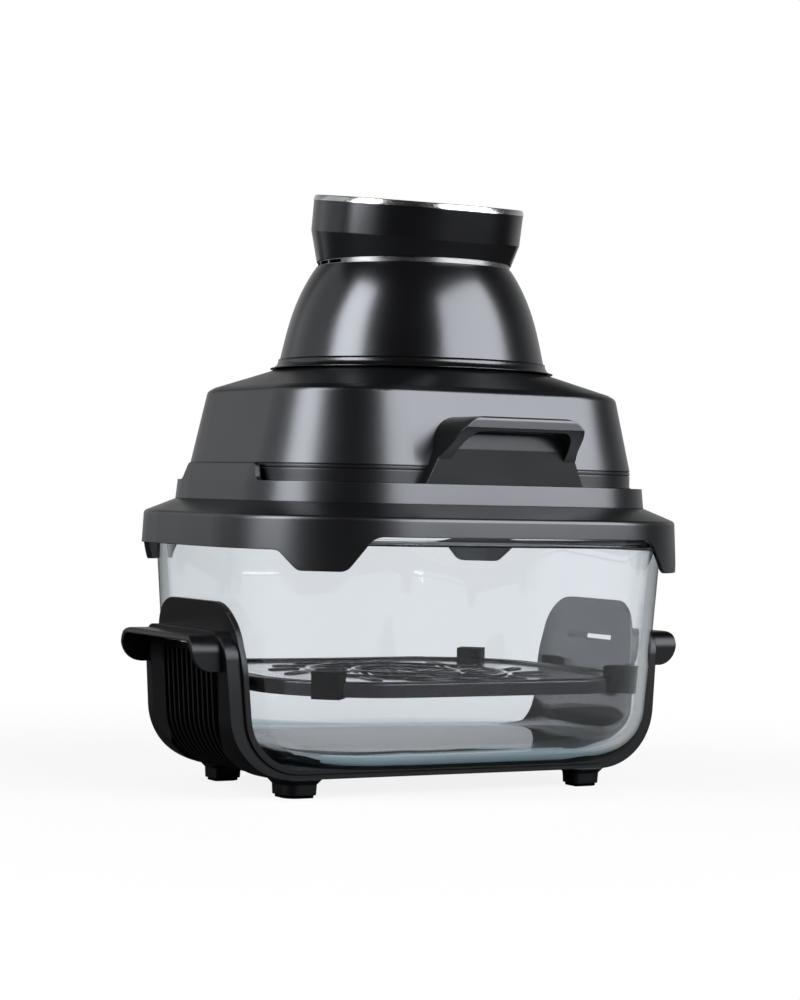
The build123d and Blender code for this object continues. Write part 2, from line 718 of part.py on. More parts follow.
finish(front_grip, "front_grip")

# Cord gland at the back: a flanged bush in the body wall, without a cord
with BuildPart() as cord_gland:
    for start, radius in ((GLAND_IN, GLAND_NECK), (GLAND_IN + 3, GLAND_FLANGE)):
        with BuildSketch(Plane.XZ.offset(-start)):
            with Locations((0, GLAND_HEIGHT)):
                Circle(radius)
        extrude(amount=start - GLAND_OUT)
    fillet(cord_gland.faces().sort_by(Axis.Y)[-1].edges(), 1.5)
    with BuildSketch(Plane.XZ.offset(-GLAND_IN)):
        with Locations((0, GLAND_HEIGHT)):
            Circle(GLAND_BORE)
    extrude(amount=GLAND_IN - GLAND_OUT, mode=Mode.SUBTRACT)
    add(body_shell.part, mode=Mode.SUBTRACT)
finish(cord_gland, "cord_gland")

# Neck shell: bellied cone from the shoulder up to the vent ring
with BuildPart() as neck_shell:
    outer_points = [(NECK_RADIUS, NECK_LOW)]
    outer_points += [(NECK_RADIUS - inward, NECK_LOW + up) for inward, up in NECK_STEPS]
    inner_points = [(radius - NECK_WALL, height) for radius, height in outer_points]
    with BuildSketch(Plane.XZ):
        with BuildLine():
            Spline(outer_points)
            Line(outer_points[-1], inner_points[-1])
            Spline(inner_points[::-1])
            Line(inner_points[0], outer_points[0])
        make_face()
        flare = [(NECK_RADIUS - 1, NECK_LOW), (NECK_RADIUS + 4, NECK_LOW)]
        flare += [(NECK_RADIUS + 4, NECK_LOW + 0.4), (NECK_RADIUS - 0.4, NECK_LOW + 5.4)]
        with BuildLine():
            Polyline(*flare[:3])
            ThreePointArc(flare[2], (NECK_RADIUS + 1.2, NECK_LOW + 1.6), flare[3])
            Line(flare[3], flare[0])
        make_face()
    revolve(axis=Axis.Z)
    add(body_shell.part, mode=Mode.SUBTRACT)
finish(neck_shell, "neck_shell")

# Vent ring: narrow metal band with slots round its sides and back
with BuildPart() as vent_ring:
    with BuildSketch(Plane.XY.offset(NECK_TOP)):
        Circle(VENT_RADIUS)
        Circle(VENT_RADIUS - 3, mode=Mode.SUBTRACT)
    extrude(amount=VENT_HEIGHT)
    with BuildSketch(Plane.XY.offset(NECK_TOP + 0.5)):
        slot_step = radians(220 / 16) * (VENT_RADIUS - 1.5)
        with PolarLocations(VENT_RADIUS - 1.5, 16, start_angle=-20, angular_range=220):
            Rectangle(6, slot_step - 1.5)
    extrude(amount=VENT_HEIGHT - 1, mode=Mode.SUBTRACT)
finish(vent_ring, "vent_ring")


def cap_plane(height, lean, lift=0.0):
    """Plane of the cap's tilted top, dropped at the front, and lifted along its own normal."""
    return Plane((0, -lean, height)).rotated((CAP_TILT, 0, 0)).offset(lift)


def disc(plane, radius):
    """Filled circle on a plane."""
    with BuildSketch(plane) as circle:
        Circle(radius)
    return circle.sketch


# Cap shell: flares from a level circle to a tilted fold, then runs straight up to its rim
with BuildPart() as cap_shell:
    top_plane = cap_plane(CAP_TOP, CAP_LEAN)
    fold_plane = cap_plane(CAP_FOLD, CAP_LEAN / 4)
    loft([disc(Plane.XY.offset(CAP_LOW), CAP_LOW_RADIUS), disc(fold_plane, CAP_FOLD_RADIUS)], ruled=True)
    loft([disc(fold_plane, CAP_FOLD_RADIUS), disc(top_plane, CAP_TOP_RADIUS)], ruled=True)
    shelf_plane = top_plane.offset(-CAP_WALL)
    low_inner = disc(Plane.XY.offset(CAP_LOW), CAP_LOW_RADIUS - CAP_WALL)
    fold_inner = disc(fold_plane, CAP_FOLD_RADIUS - CAP_WALL)
    loft([low_inner, fold_inner], ruled=True, mode=Mode.SUBTRACT)
    loft([fold_inner, disc(shelf_plane, CAP_TOP_RADIUS - CAP_WALL)], ruled=True, mode=Mode.SUBTRACT)
    extrude(disc(shelf_plane, CAP_TOP_RADIUS - 10), amount=CAP_WALL + 1, mode=Mode.SUBTRACT)
finish(cap_shell, "cap_shell")

with BuildPart() as chrome_ring:
    extrude(disc(top_plane, CAP_TOP_RADIUS + 0.3), amount=CHROME_HEIGHT)
    extrude(disc(top_plane, CAP_TOP_RADIUS - CHROME_WIDTH), amount=CHROME_HEIGHT, mode=Mode.SUBTRACT)
    chamfer(chrome_ring.faces().sort_by(Axis.Z)[-1].outer_wire().edges(), 0.7)
finish(chrome_ring, "chrome_ring")

with BuildPart() as touch_panel:
    extrude(disc(top_plane, CAP_TOP_RADIUS - CHROME_WIDTH), amount=PANEL_THICK)
finish(touch_panel, "touch_panel")

with BuildPart() as control_board:
    extrude(disc(top_plane, CAP_TOP_RADIUS - 11), amount=-BOARD_THICK)
    with BuildSketch(top_plane.offset(-BOARD_THICK)):
        with Locations((-18, 8), (12, -14)):
            Rectangle(16, 12)
        with Locations((20, 16), (-8, -22)):
            Circle(5)
    extrude(amount=-6)
finish(control_board, "control_board")

# Underside of the head: gasket, cover, guard, dish and their screws
with BuildPart() as lid_gasket:
    gasket_out = BEAD_OUTSET - 0.6
    add(
        carried_round(
            [
                (gasket_out, GLASS_TOP),
                (gasket_out, COVER_LOW),
                (gasket_out - 9, COVER_LOW),
                (gasket_out - 9, GLASS_TOP - 3),
                (gasket_out - 7.4, GLASS_TOP - 3),
                (gasket_out - 7.4, GLASS_TOP),
            ]
        )
    )
finish(lid_gasket, "lid_gasket")

with BuildPart() as underside_cover:
    extrude(plan_outline(COVER_LOW, COVER_OUTSET), amount=COVER_THICK)
    extrude(disc(Plane.XY.offset(COVER_LOW), MOUTH_RADIUS), amount=COVER_THICK, mode=Mode.SUBTRACT)
    with BuildSketch(Plane.XY.offset(COVER_LOW)):
        with Locations(*four(HEAD_SCREW)):
            Circle(SCREW_RADIUS)
    extrude(amount=COVER_THICK, mode=Mode.SUBTRACT)
finish(underside_cover, "underside_cover")

with BuildPart() as head_screws:
    add(screws(four(HEAD_SCREW), COVER_LOW - 2, COVER_LOW, 3.0, COVER_LOW + 12))
finish(head_screws, "head_screws")


def turned(points):
    """Solid turned about Z from a section of (radius, height) points."""
    with BuildPart() as lathe:
        revolve(closed_face(Plane.XZ, points), Axis.Z)
    return lathe.part


with BuildPart() as fan_guard:
    guard_radius = MOUTH_RADIUS - 4
    add(
        turned(
            [
                (8, GUARD_LOW),
                (guard_radius, GUARD_LOW),
                (guard_radius, COVER_LOW - SHEET),
                (MOUTH_RADIUS + 5, COVER_LOW - SHEET),
                (MOUTH_RADIUS + 5, COVER_LOW),
                (guard_radius - SHEET, COVER_LOW),
                (guard_radius - SHEET, GUARD_LOW + SHEET),
                (8, GUARD_LOW + SHEET),
            ]
        )
    )
    extrude(disc(Plane.XY.offset(GUARD_LOW), 9), amount=SHEET)
    with BuildSketch(Plane.XY.offset(GUARD_LOW)):
        for share in GUARD_RINGS:
            ring_radius = guard_radius * share
            span = 60 - degrees(GUARD_WEB / ring_radius)
            for index in range(6):
                SlotArc(CenterArc((0, 0), ring_radius, index * 60, span), GUARD_SLOT)
    extrude(amount=SHEET, mode=Mode.SUBTRACT)
finish(fan_guard, "fan_guard")

# Heater coil: one tube, out and back on two radii, with both ends up outside the fan
coil_start = 12.0
coil_end = 165.0
terminal_places = [
    (COIL_OUTER * cos(radians(angle)), COIL_OUTER * sin(radians(angle)))
    for angle in (coil_start, -coil_start)
]
terminal_top = DISH_TOP + 14
with BuildPart() as heater_coil:
    coil_mid = (COIL_OUTER + COIL_INNER) / 2
    turn_radius = (COIL_OUTER - COIL_INNER) / 2
    turn_x, turn_y = coil_mid * cos(radians(coil_end)), coil_mid * sin(radians(coil_end))
    with BuildLine(Plane.XY.offset(COIL_HEIGHT)) as coil_path:
        CenterArc((0, 0), COIL_OUTER, coil_start, coil_end - coil_start)
        CenterArc((turn_x, turn_y), turn_radius, coil_end, 180)
        CenterArc((0, 0), COIL_INNER, coil_end, -2 * coil_end)
        CenterArc((turn_x, -turn_y), turn_radius, 180 - coil_end, 180)
        CenterArc((0, 0), COIL_OUTER, -coil_end, coil_end - coil_start)
    with BuildSketch(Plane(coil_path.line @ 0, z_dir=coil_path.line % 0)):
        Circle(COIL_TUBE)
    sweep()
    with BuildSketch(Plane.XY.offset(COIL_HEIGHT)):
        with Locations(*terminal_places):
            Circle(COIL_TUBE)
    extrude(amount=terminal_top - COIL_HEIGHT)
    with Locations(*[(x, y, COIL_HEIGHT) for x, y in terminal_places]):
        Sphere(COIL_TUBE)
finish(heater_coil, "heater_coil")

probe_angle = radians(70)
probe_radius = MOUTH_RADIUS - 6
probe_place = (probe_radius * cos(probe_angle), probe_radius * sin(probe_angle))


def passages(height, thick, extra=()):
    """Holes in a level sheet for the shaft, the coil's ends and the probe."""
    with BuildPart() as holes:
        with BuildSketch(Plane.XY.offset(height)):
            Circle(SHAFT_RADIUS + 1.5)
            with Locations(*terminal_places):
                Circle(COIL_TUBE + 0.3)
            with Locations(*extra):
                Circle(2)
        extrude(amount=thick)
    return holes.part


with BuildPart() as reflector_dish:
    dish_inner = MOUTH_RADIUS - SHEET
    cover_top = COVER_LOW + COVER_THICK
    add(
        turned(
            [
                (MOUTH_RADIUS + 8, cover_top),
                (MOUTH_RADIUS + 8, cover_top + SHEET),
                (MOUTH_RADIUS, cover_top + SHEET),
                (MOUTH_RADIUS, DISH_TOP),
                (0, DISH_TOP),
                (0, DISH_TOP - SHEET),
                (dish_inner, DISH_TOP - SHEET),
                (dish_inner, cover_top),
            ]
        )
    )
    add(passages(DISH_TOP - SHEET, SHEET, [probe_place]), mode=Mode.SUBTRACT)
finish(reflector_dish, "reflector_dish")

with BuildPart() as heater_clips:
    clip_height = COIL_HEIGHT + COIL_TUBE
    clip_in, clip_out = COIL_INNER - 6, COIL_OUTER + 8.5
    for turn in (110, 190, 270):
        with BuildSketch(Plane.XY.offset(clip_height)):
            with PolarLocations((clip_in + clip_out) / 2, 1, start_angle=turn):
                Rectangle(clip_out - clip_in, 8)
        extrude(amount=1.2)
        with BuildSketch(Plane.XY.offset(clip_height)):
            with PolarLocations(clip_out - 0.75, 1, start_angle=turn):
                Rectangle(1.5, 8)
        extrude(amount=DISH_TOP - SHEET - clip_height)
finish(heater_clips, "heater_clips")

with BuildPart() as temperature_probe:
    with BuildSketch(Plane.XY.offset(COVER_LOW + 1)):
        with Locations(probe_place):
            Circle(2)
    extrude(amount=DISH_TOP + 3 - COVER_LOW)
finish(temperature_probe, "temperature_probe")

with BuildPart() as insulation_disc:
    extrude(disc(Plane.XY.offset(DISH_TOP), MOUTH_RADIUS - 10), amount=SHELF - DISH_TOP)
    add(passages(DISH_TOP, SHELF - DISH_TOP), mode=Mode.SUBTRACT)
finish(insulation_disc, "insulation_disc")

with BuildPart() as mounting_plate:
    extrude(plan_outline(SHELF, SKIRT_OUTSET - SKIRT_WALL - 1.2), amount=PLATE_THICK)
    add(passages(SHELF, PLATE_THICK), mode=Mode.SUBTRACT)
finish(mounting_plate, "mounting_plate")

# Motor on its bracket, with the shaft through it
plate_top = SHELF + PLATE_THICK
with BuildPart() as motor_bracket:
    with BuildSketch(Plane.XY.offset(BRACKET_TOP - 2)):
        Circle(MOTOR_RADIUS + 4)
        Circle(14, mode=Mode.SUBTRACT)
    extrude(amount=2)
    with BuildSketch(Plane.XY.offset(plate_top)):
        with PolarLocations(MOTOR_RADIUS, 3, start_angle=90):
            Circle(3.5)
    extrude(amount=BRACKET_TOP - 1 - plate_top)
finish(motor_bracket, "motor_bracket")

with BuildPart() as motor:
    bore = SHAFT_RADIUS + SHAFT_GAP
    add(
        turned(
            [
                (bore, BRACKET_TOP - 3),
                (9, BRACKET_TOP - 3),
                (9, BRACKET_TOP),
                (MOTOR_RADIUS, BRACKET_TOP),
                (MOTOR_RADIUS, MOTOR_TOP),
                (9, MOTOR_TOP),
                (9, MOTOR_TOP + 4),
                (bore, MOTOR_TOP + 4),
            ]
        )
    )
    chamfer(motor.edges().filter_by(GeomType.CIRCLE).sort_by(SortBy.RADIUS)[-2:], 2.5)
finish(motor, "motor")

with BuildPart() as motor_shaft:
    extrude(disc(Plane.XY.offset(FAN_LOW - 5), SHAFT_RADIUS), amount=COOLER_HIGH + 2 - FAN_LOW + 5)
finish(motor_shaft, "motor_shaft")


def impeller(low, high, radius, blades, back_low):
    """Fan wheel: hub on the shaft, curved blades, and a thin back disc at one end."""
    with BuildPart() as wheel:
        extrude(disc(Plane.XY.offset(low), 8), amount=high - low)
        with BuildSketch(Plane.XY.offset(low)):
            for index in range(blades):
                with BuildSketch(mode=Mode.PRIVATE) as blade:
                    with BuildLine(mode=Mode.PRIVATE):
                        curve = ThreePointArc((7, 0), (radius * 0.55, radius * 0.2), (radius - 2, 0))
                    SlotArc(curve, 1.6)
                add(blade.sketch.rotate(Axis.Z, index * 360 / blades))
        extrude(amount=high - low)
        extrude(disc(Plane.XY.offset(back_low), radius), amount=SHEET)
        extrude(disc(Plane.XY.offset(low), SHAFT_RADIUS), amount=high - low, mode=Mode.SUBTRACT)
    return wheel.part


with BuildPart() as fan_impeller:
    add(impeller(FAN_LOW, FAN_HIGH, FAN_RADIUS, FAN_BLADES, FAN_HIGH - SHEET))
finish(fan_impeller, "fan_impeller")

with BuildPart() as cooling_fan:
    add(impeller(COOLER_LOW, COOLER_HIGH, COOLER_RADIUS, COOLER_BLADES, COOLER_LOW))
finish(cooling_fan, "cooling_fan")

with BuildPart() as fan_nut:
    with BuildSketch(Plane.XY.offset(FAN_LOW - 4)):
        RegularPolygon(5.5, 6)
        Circle(SHAFT_RADIUS, mode=Mode.SUBTRACT)
    extrude(amount=4)
finish(fan_nut, "fan_nut")

# Power board on four posts at the back, and the thermal cut-out on the plate
with BuildPart() as power_board:
    board_y = BODY_BACK - 35.1
    with BuildSketch(Plane.XY.offset(plate_top)):
        with Locations((0, board_y)):
            with GridLocations(62, 20, 2, 2):
                Circle(2.2)
    extrude(amount=5)
    with BuildSketch(Plane.XY.offset(plate_top + 5)):
        with Locations((0, board_y)):
            Rectangle(72, 27)
    extrude(amount=BOARD_THICK)
    board_top = plate_top + 5 + BOARD_THICK
    with BuildSketch(Plane.XY.offset(board_top)):
        with Locations((-24, board_y - 2)):
            Rectangle(16, 14)
        with Locations((24, board_y + 6)):
            Rectangle(20, 8)
    extrude(amount=11)
    with BuildSketch(Plane.XY.offset(board_top)):
        with Locations((-2, board_y - 4), (11, board_y - 4)):
            Circle(5)
    extrude(amount=13)
finish(power_board, "power_board")

with BuildPart() as thermal_cutout:
    cutout_x = MOUTH_RADIUS - 28
    with BuildSketch(Plane.XY.offset(plate_top)):
        with Locations((cutout_x, -30)):
            Circle(8)
    extrude(amount=7)
    with BuildSketch(Plane.XY.offset(plate_top + 7)):
        with Locations((cutout_x - 3, -30), (cutout_x + 3, -30)):
            Rectangle(1, 5)
    extrude(amount=7)
finish(thermal_cutout, "thermal_cutout")
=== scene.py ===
"""Looks for the glass air fryer.

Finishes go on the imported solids, and the pieces that a mesh does better are modelled here. Sizes
are written in millimetres, and Blender works in metres. The front faces -Y, and Z is up.
"""

from math import cos, pi, radians, sin, tan

import bmesh
import bpy
from bpy.props import FloatProperty, FloatVectorProperty, IntProperty, PointerProperty
from mathutils import Matrix, Vector


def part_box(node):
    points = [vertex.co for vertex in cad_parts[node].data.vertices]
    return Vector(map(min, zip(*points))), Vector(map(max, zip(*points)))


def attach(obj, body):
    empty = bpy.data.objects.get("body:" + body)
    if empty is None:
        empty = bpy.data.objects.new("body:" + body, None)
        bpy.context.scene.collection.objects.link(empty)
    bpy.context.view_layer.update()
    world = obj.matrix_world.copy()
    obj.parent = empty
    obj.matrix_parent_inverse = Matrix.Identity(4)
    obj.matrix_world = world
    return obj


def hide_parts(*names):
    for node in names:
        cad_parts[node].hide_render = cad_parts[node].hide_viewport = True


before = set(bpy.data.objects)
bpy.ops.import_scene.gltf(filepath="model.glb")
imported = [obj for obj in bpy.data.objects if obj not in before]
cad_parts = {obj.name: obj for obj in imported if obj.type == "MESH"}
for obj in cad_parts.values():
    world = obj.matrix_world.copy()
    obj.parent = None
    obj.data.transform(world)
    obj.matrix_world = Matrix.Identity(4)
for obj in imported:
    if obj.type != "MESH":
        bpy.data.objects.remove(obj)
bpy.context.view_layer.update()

bl_info = {
    "name": "Glass air fryer",
    "version": (1, 0, 0),
    "blender": (4, 5, 0),
    "location": "3D View > Sidebar > Air fryer",
    "description": "Finishes and fine pieces for an air fryer with a glass tub and lift-off head",
    "category": "Object",
}

MM = 0.001

# The lid band's plan, which the glass follows: length, depth and corner radius
BAND = (276.0, 243.0, 86.5)
CORNER_STEPS = 20

# Glass: heights of its floor and top, outset of its top, draft, and outer radius of its foot
GLASS_FLOOR = 17.2
GLASS_TOP = 144.5
GLASS_TOP_OUTSET = -6.6
GLASS_DRAFT = radians(4.2)
GLASS_ROUND = 28.0
# The tub ends this far under the gasket, so that no two faces share a plane
RIM_GAP = 0.04
# Heights of the wall's outlines, outside up to the bead and inside up to the rounded edge
OUTER_HEIGHTS = (90.0, 134.9)
INNER_HEIGHTS = (90.0, 143.4)
# Rim bead: how far it stands out, its section as steps in from there and heights, the step at
# its top, and the chamfer of the inner edge
BEAD_REACH = 1.6
BEAD_SECTION = ((1.3, 135.3), (0.4, 136.0), (0.0, 137.2), (0.0, 143.0), (0.4, 144.0))
BEAD_TOP_STEP = 1.5
INNER_CHAMFER = 1.0
# Heights over the tub's underside between which the blue-green of the foot fades
FOOT_TINT = (2, 8)

# Crisper plate: outsets of its rim beads, radii of its rings, and its slots, count by ring radius
TRAY_RIMS = (-29.6, -35.5)
TRAY_RINGS = (29.5, 55.5)
TRAY_SLOTS = ((6, 17.0), (12, 42.0), (16, 69.0))
SLOT_SIZE = (20.0, 4.2)
SLOT_SLANT = radians(38)
# Radii of the beads, and how far a slot's lip runs outside the slot, over its plan and corner
RIM_BEAD = 1.5
RING_BEAD = 1.3
LIP_BEAD = 0.8
LIP_GROWTH = 1.2
LIP_CORNER = 0.59
# Corner radius over half the width that still leaves a short side, for a bead and for the ring
BEAD_ROUND = 0.995
RING_ROUND = 0.9995

# Touch panel: thickness, turn about X, and how far its printed marks stand up
PANEL_THICK = 2.4
PANEL_TILT = radians(6.5)
MARK_HEIGHT = 0.1
# Its marks, from its middle: figures as (size, x, y), rings as (x, y, radius), and bars as
# (x, y, width, height)
DEGREES_MARK = (15.0, 0, 13)
MINUTES_MARK = (12.0, 0, -7)
SIGN_MARKS = (("+", 13.0, 36, 3), ("-", 13.0, -36, 3))
MARK_RINGS = ((-36, 3, 8.0), (36, 3, 8.0), (0, -33, 6.5))
MARK_BARS = ((0, -30, 0.9, 6.0), (0, 2.2, 34.0, 0.5))
RING_LINE = 0.35
# Small rings on an arc: its radius, theirs, and their turns from its top in degrees
DOT_ARC = 42
DOT_RADIUS = 1.3
DOT_TURNS = range(-45, 46, 15)

# Bright ring: its height, and its section as outsets and heights, from its outer lower edge. No
# two neighbours share a height, because bridging round outlines in one plane twists them
CHROME_HEIGHT = 3.0
CHROME_SECTION = (
    (0, 0),
    (0, 0.3),
    (-0.1, 0.6),
    (-0.75, 2.6),
    (-0.95, 2.85),
    (-1.3, 3.0),
    (-2.7, 2.98),
    (-3.05, 2.85),
    (-3.2, 2.5),
    (-3.2, 0.02),
)

# Camera, at the photograph's place: it looks level, from the front left. In metres
CAMERA_AT = (-0.7203, -1.2549, 0.1631)
CAMERA_AHEAD = (0.495, 0.869, -0.0033)
CAMERA_ROLL = radians(1.29)
CAMERA_LENS = 92.74
CAMERA_SENSOR = 36.0
CAMERA_REACH = 50.0

# Soft boxes: azimuth in degrees from the front towards the left, then distance, height and size
# in metres
SOFT_BOXES = {
    "left": (90, 1.5, 1.14, (0.8, 1.67)),
    "right": (-30, 1.5, 1.14, (1.85, 1.67)),
    "back": (140, 1.6, 0.9, (1.3, 1.7)),
}

# World: the way to the backdrop, its level, that of the dark room, and what lights matt surfaces
BACKDROP_WAY = (0.5, 0.866, 0.0)
BACKDROP_LEVEL = 0.5
ROOM_LEVEL = 0.006
MATT_LEVEL = 0.2

# Floor: size, share that glows under the object and away from it, the distances between, all in
# metres, and how much of the glow a mirrored ray sees through glass
FLOOR_SIZE = 14.0
FLOOR_GLOW = (0.86, 1.0)
FLOOR_FADE = (0.2, 0.6)
MIRRORED_GLOW = 0.4

# CAD nodes by the finish that they get
DRESSED = {
    "shell": ("lid_rim", "lid_collar", "skirt_band", "body_shell", "front_grip"),
    "neck": ("neck_shell", "cap_shell"),
    "cradle": ("base_shell", "cradle_liner", "left_handle", "right_handle", "cord_gland"),
    "glass": ("glass_container",),
    "panel": ("touch_panel",),
    "chrome": ("chrome_ring",),
    "vent": ("vent_ring",),
    "tray": ("crisper_plate",),
    "coated": ("underside_cover", "cooling_fan"),
    "sheet": (
        "reflector_dish",
        "mounting_plate",
        "fan_guard",
        "motor_bracket",
        "heater_clips",
        "fan_impeller",
    ),
    "sheath": ("heater_coil",),
    "steel": (
        "motor_shaft",
        "fan_nut",
        "temperature_probe",
        "head_screws",
        "base_screws",
        "thermal_cutout",
    ),
    "silicone": ("tray_bumpers", "lid_gasket", "foot_pads", "glass_pads"),
    "board": ("control_board", "power_board"),
    "fibre": ("insulation_disc",),
    "laminations": ("motor",),
}
FINISHES = {}


class FryerGlassSettings(bpy.types.PropertyGroup):
    """Sizes of the glass tub."""

    wall: FloatProperty(
        name="Wall", description="Thickness of the glass wall", default=5.5 * MM, unit="LENGTH"
    )
    base: FloatProperty(
        name="Base", description="Thickness of the glass floor", default=6.0 * MM, unit="LENGTH"
    )
    tint: FloatVectorProperty(
        name="Tint",
        description="Colour of light that has gone through a long way of glass",
        default=(0.42, 0.66, 0.74),
        subtype="COLOR",
        size=3,
    )
    density: FloatProperty(
        name="Tint density",
        description="How fast the glass takes up colour, per metre",
        default=17.0,
    )


class FryerFinishSettings(bpy.types.PropertyGroup):
    """Colours and sheen of the mouldings."""

    shell: FloatVectorProperty(
        name="Housing",
        description="Colour of the satin housings, sRGB",
        default=(0.03, 0.031, 0.034),
        subtype="COLOR_GAMMA",
        size=3,
    )
    cradle: FloatVectorProperty(
        name="Cradle",
        description="Colour of the cradle and its hoods, sRGB",
        default=(0.02, 0.02, 0.022),
        subtype="COLOR_GAMMA",
        size=3,
    )
    sheen: FloatProperty(
        name="Housing roughness",
        description="Roughness of the satin housings",
        default=0.3,
        subtype="FACTOR",
        min=0.0,
        max=1.0,
    )


class FryerPanelSettings(bpy.types.PropertyGroup):
    """What the touch panel shows."""

    degrees: IntProperty(
        name="Degrees", description="Number in the upper line", default=180, min=0, max=260
    )
    minutes: IntProperty(
        name="Minutes", description="Number in the lower line", default=15, min=1, max=60
    )


class FryerStageSettings(bpy.types.PropertyGroup):
    """Light levels of the studio."""

    left: FloatProperty(
        name="Left box",
        description="Power of the soft box on the left",
        default=27.0,
        unit="POWER",
    )
    right: FloatProperty(
        name="Right box",
        description="Power of the soft box on the right",
        default=44.0,
        unit="POWER",
    )
    back: FloatProperty(
        name="Back box", description="Power of the soft box behind", default=2.5, unit="POWER"
    )


# Colours and nodes


def linear(text):
    """Linear RGBA from an sRGB hex colour."""
    parts = [int(text[i : i + 2], 16) / 255 for i in (1, 3, 5)]
    return (*[c / 12.92 if c <= 0.04045 else ((c + 0.055) / 1.055) ** 2.4 for c in parts], 1.0)


def hex_of(colour):
    """sRGB hex text of a colour property."""
    return "#" + "".join(f"{round(max(0.0, min(1.0, c)) * 255):02x}" for c in colour)


def add_node(tree, kind, links=None, values=None, **settings):
    """Add a node, set its attributes and socket values, and link its inputs from other sockets."""
    made = tree.nodes.new(kind)
    for name, value in settings.items():
        setattr(made, name, value)
    for name, value in (values or {}).items():
        made.inputs[name].default_value = value
    for name, socket in (links or {}).items():
        tree.links.new(socket, made.inputs[name])
    return made


def new_material(name, **values):
    """Material with one principled shader, whose constant values sit on its own sockets."""
    material = bpy.data.materials.new(name)
    material.use_nodes = True
    tree = material.node_tree
    tree.nodes.clear()
    shader = add_node(tree, "ShaderNodeBsdfPrincipled", values=values)
    add_node(tree, "ShaderNodeOutputMaterial", {"Surface": shader.outputs[0]})
    return material, tree, shader


def place(tree, scale=(1, 1, 1)):
    """Object coordinates through a mapping."""
    where = add_node(tree, "ShaderNodeTexCoord")
    mapping = add_node(
        tree, "ShaderNodeMapping", {"Vector": where.outputs["Object"]}, {"Scale": scale}
    )
    return mapping.outputs[0]


def two_tone(tree, shader, value, colours, share=(0.0, 1.0), source=(0.3, 0.7)):
    """Let a pattern's value mix two sRGB colours into the base colour.

    Over the `source` range of the value, the second colour's share goes through `share`.
    """
    ranged = add_node(
        tree,
        "ShaderNodeMapRange",
        {"Value": value},
        {"From Min": source[0], "From Max": source[1], "To Min": share[0], "To Max": share[1]},
    )
    mixed = add_node(
        tree,
        "ShaderNodeMix",
        {"Factor": ranged.outputs[0]},
        {6: linear(colours[0]), 7: linear(colours[1])},
        data_type="RGBA",
    )
    tree.links.new(mixed.outputs[2], shader.inputs["Base Color"])


def uneven_gloss(tree, shader, value, low, high, source=(0.3, 0.7)):
    """Let a pattern's value move the roughness from one level to another."""
    ranged = add_node(
        tree,
        "ShaderNodeMapRange",
        {"Value": value},
        {"From Min": source[0], "From Max": source[1], "To Min": low, "To Max": high},
    )
    tree.links.new(ranged.outputs[0], shader.inputs["Roughness"])


def bumped(tree, shader, height, depth, strength=1.0, edge=0.0):
    """Give a shader a bump of a depth, and edges that look rounded to a radius, in millimetres."""
    links = {"Height": height}
    if edge:
        rounded = add_node(tree, "ShaderNodeBevel", values={"Radius": edge * MM}, samples=6)
        links["Normal"] = rounded.outputs[0]
    bump = add_node(tree, "ShaderNodeBump", links, {"Strength": strength, "Distance": depth * MM})
    tree.links.new(bump.outputs[0], shader.inputs["Normal"])


def moulded_plastic(name, colour, roughness, grain, depth, lighter="#0d0d0f", gloss=1.0):
    """Injection-moulded plastic with a spark-eroded grain, whose pits soften the highlight.

    The real grain is near 0.1 mm and is drawn at `grain` millimetres, so that it shows. The
    mould's polish also varies over patches some 70 mm wide.
    """
    material, tree, shader = new_material(name, IOR=1.6)
    shader.inputs["Specular IOR Level"].default_value = gloss
    # Painted light: a blue cast in the highlights, in place of slightly blue lamps
    shader.inputs["Specular Tint"].default_value = linear("#f1f6ff")
    fine = add_node(
        tree, "ShaderNodeTexNoise", {"Vector": place(tree)}, {"Scale": 1000 / grain, "Detail": 2.0}
    )
    broad = add_node(
        tree, "ShaderNodeTexNoise", {"Vector": place(tree)}, {"Scale": 14.0, "Detail": 3.0}
    )
    two_tone(tree, shader, broad.outputs[0], (colour, lighter), (0.0, 0.16))
    uneven_gloss(tree, shader, broad.outputs[0], roughness - 0.025, roughness + 0.03)
    bumped(tree, shader, fine.outputs[0], depth, 0.35, edge=0.7)
    return material


def plated_metal(name, colour, roughness, brush=(1, 1, 1), depth=0.01):
    """Metal skin whose fine scratches run one way; `brush` stretches them along an axis.

    Real scratches are finer. They are drawn near 1 mm apart, so that they show.
    """
    material, tree, shader = new_material(name, Metallic=1.0)
    shader.inputs["Base Color"].default_value = linear(colour)
    lines = add_node(
        tree, "ShaderNodeTexNoise", {"Vector": place(tree, brush)}, {"Scale": 900.0, "Detail": 4.0}
    )
    uneven_gloss(tree, shader, lines.outputs[0], roughness * 0.8, roughness * 1.35)
    bumped(tree, shader, lines.outputs[0], depth, 0.3)
    return material


def pressed_glass(settings):
    """Pressed borosilicate glass: pale grey through the wall, and blue-green in the thick foot.

    The plunger leaves waves about 45 mm long in its faces.
    """
    material, tree, shader = new_material("pressed_borosilicate_glass", IOR=1.474, Roughness=0.0)
    height = add_node(tree, "ShaderNodeSeparateXYZ", {"Vector": place(tree)})
    fade = [(GLASS_FLOOR + over) * MM for over in FOOT_TINT]
    two_tone(tree, shader, height.outputs[2], ("#f5f5f7", "#7893a0"), (1.0, 0.0), fade)
    shader.inputs["Transmission Weight"].default_value = 1.0
    ripple = add_node(
        tree, "ShaderNodeTexNoise", {"Vector": place(tree)}, {"Scale": 22.0, "Detail": 1.0}
    )
    bumped(tree, shader, ripple.outputs[0], 0.25, 0.12)
    volume = add_node(tree, "ShaderNodeVolumeAbsorption", values={"Density": settings.density})
    volume.inputs["Color"].default_value = (*settings.tint, 1.0)
    output = next(n for n in tree.nodes if n.type == "OUTPUT_MATERIAL")
    tree.links.new(volume.outputs[0], output.inputs["Volume"])
    return material


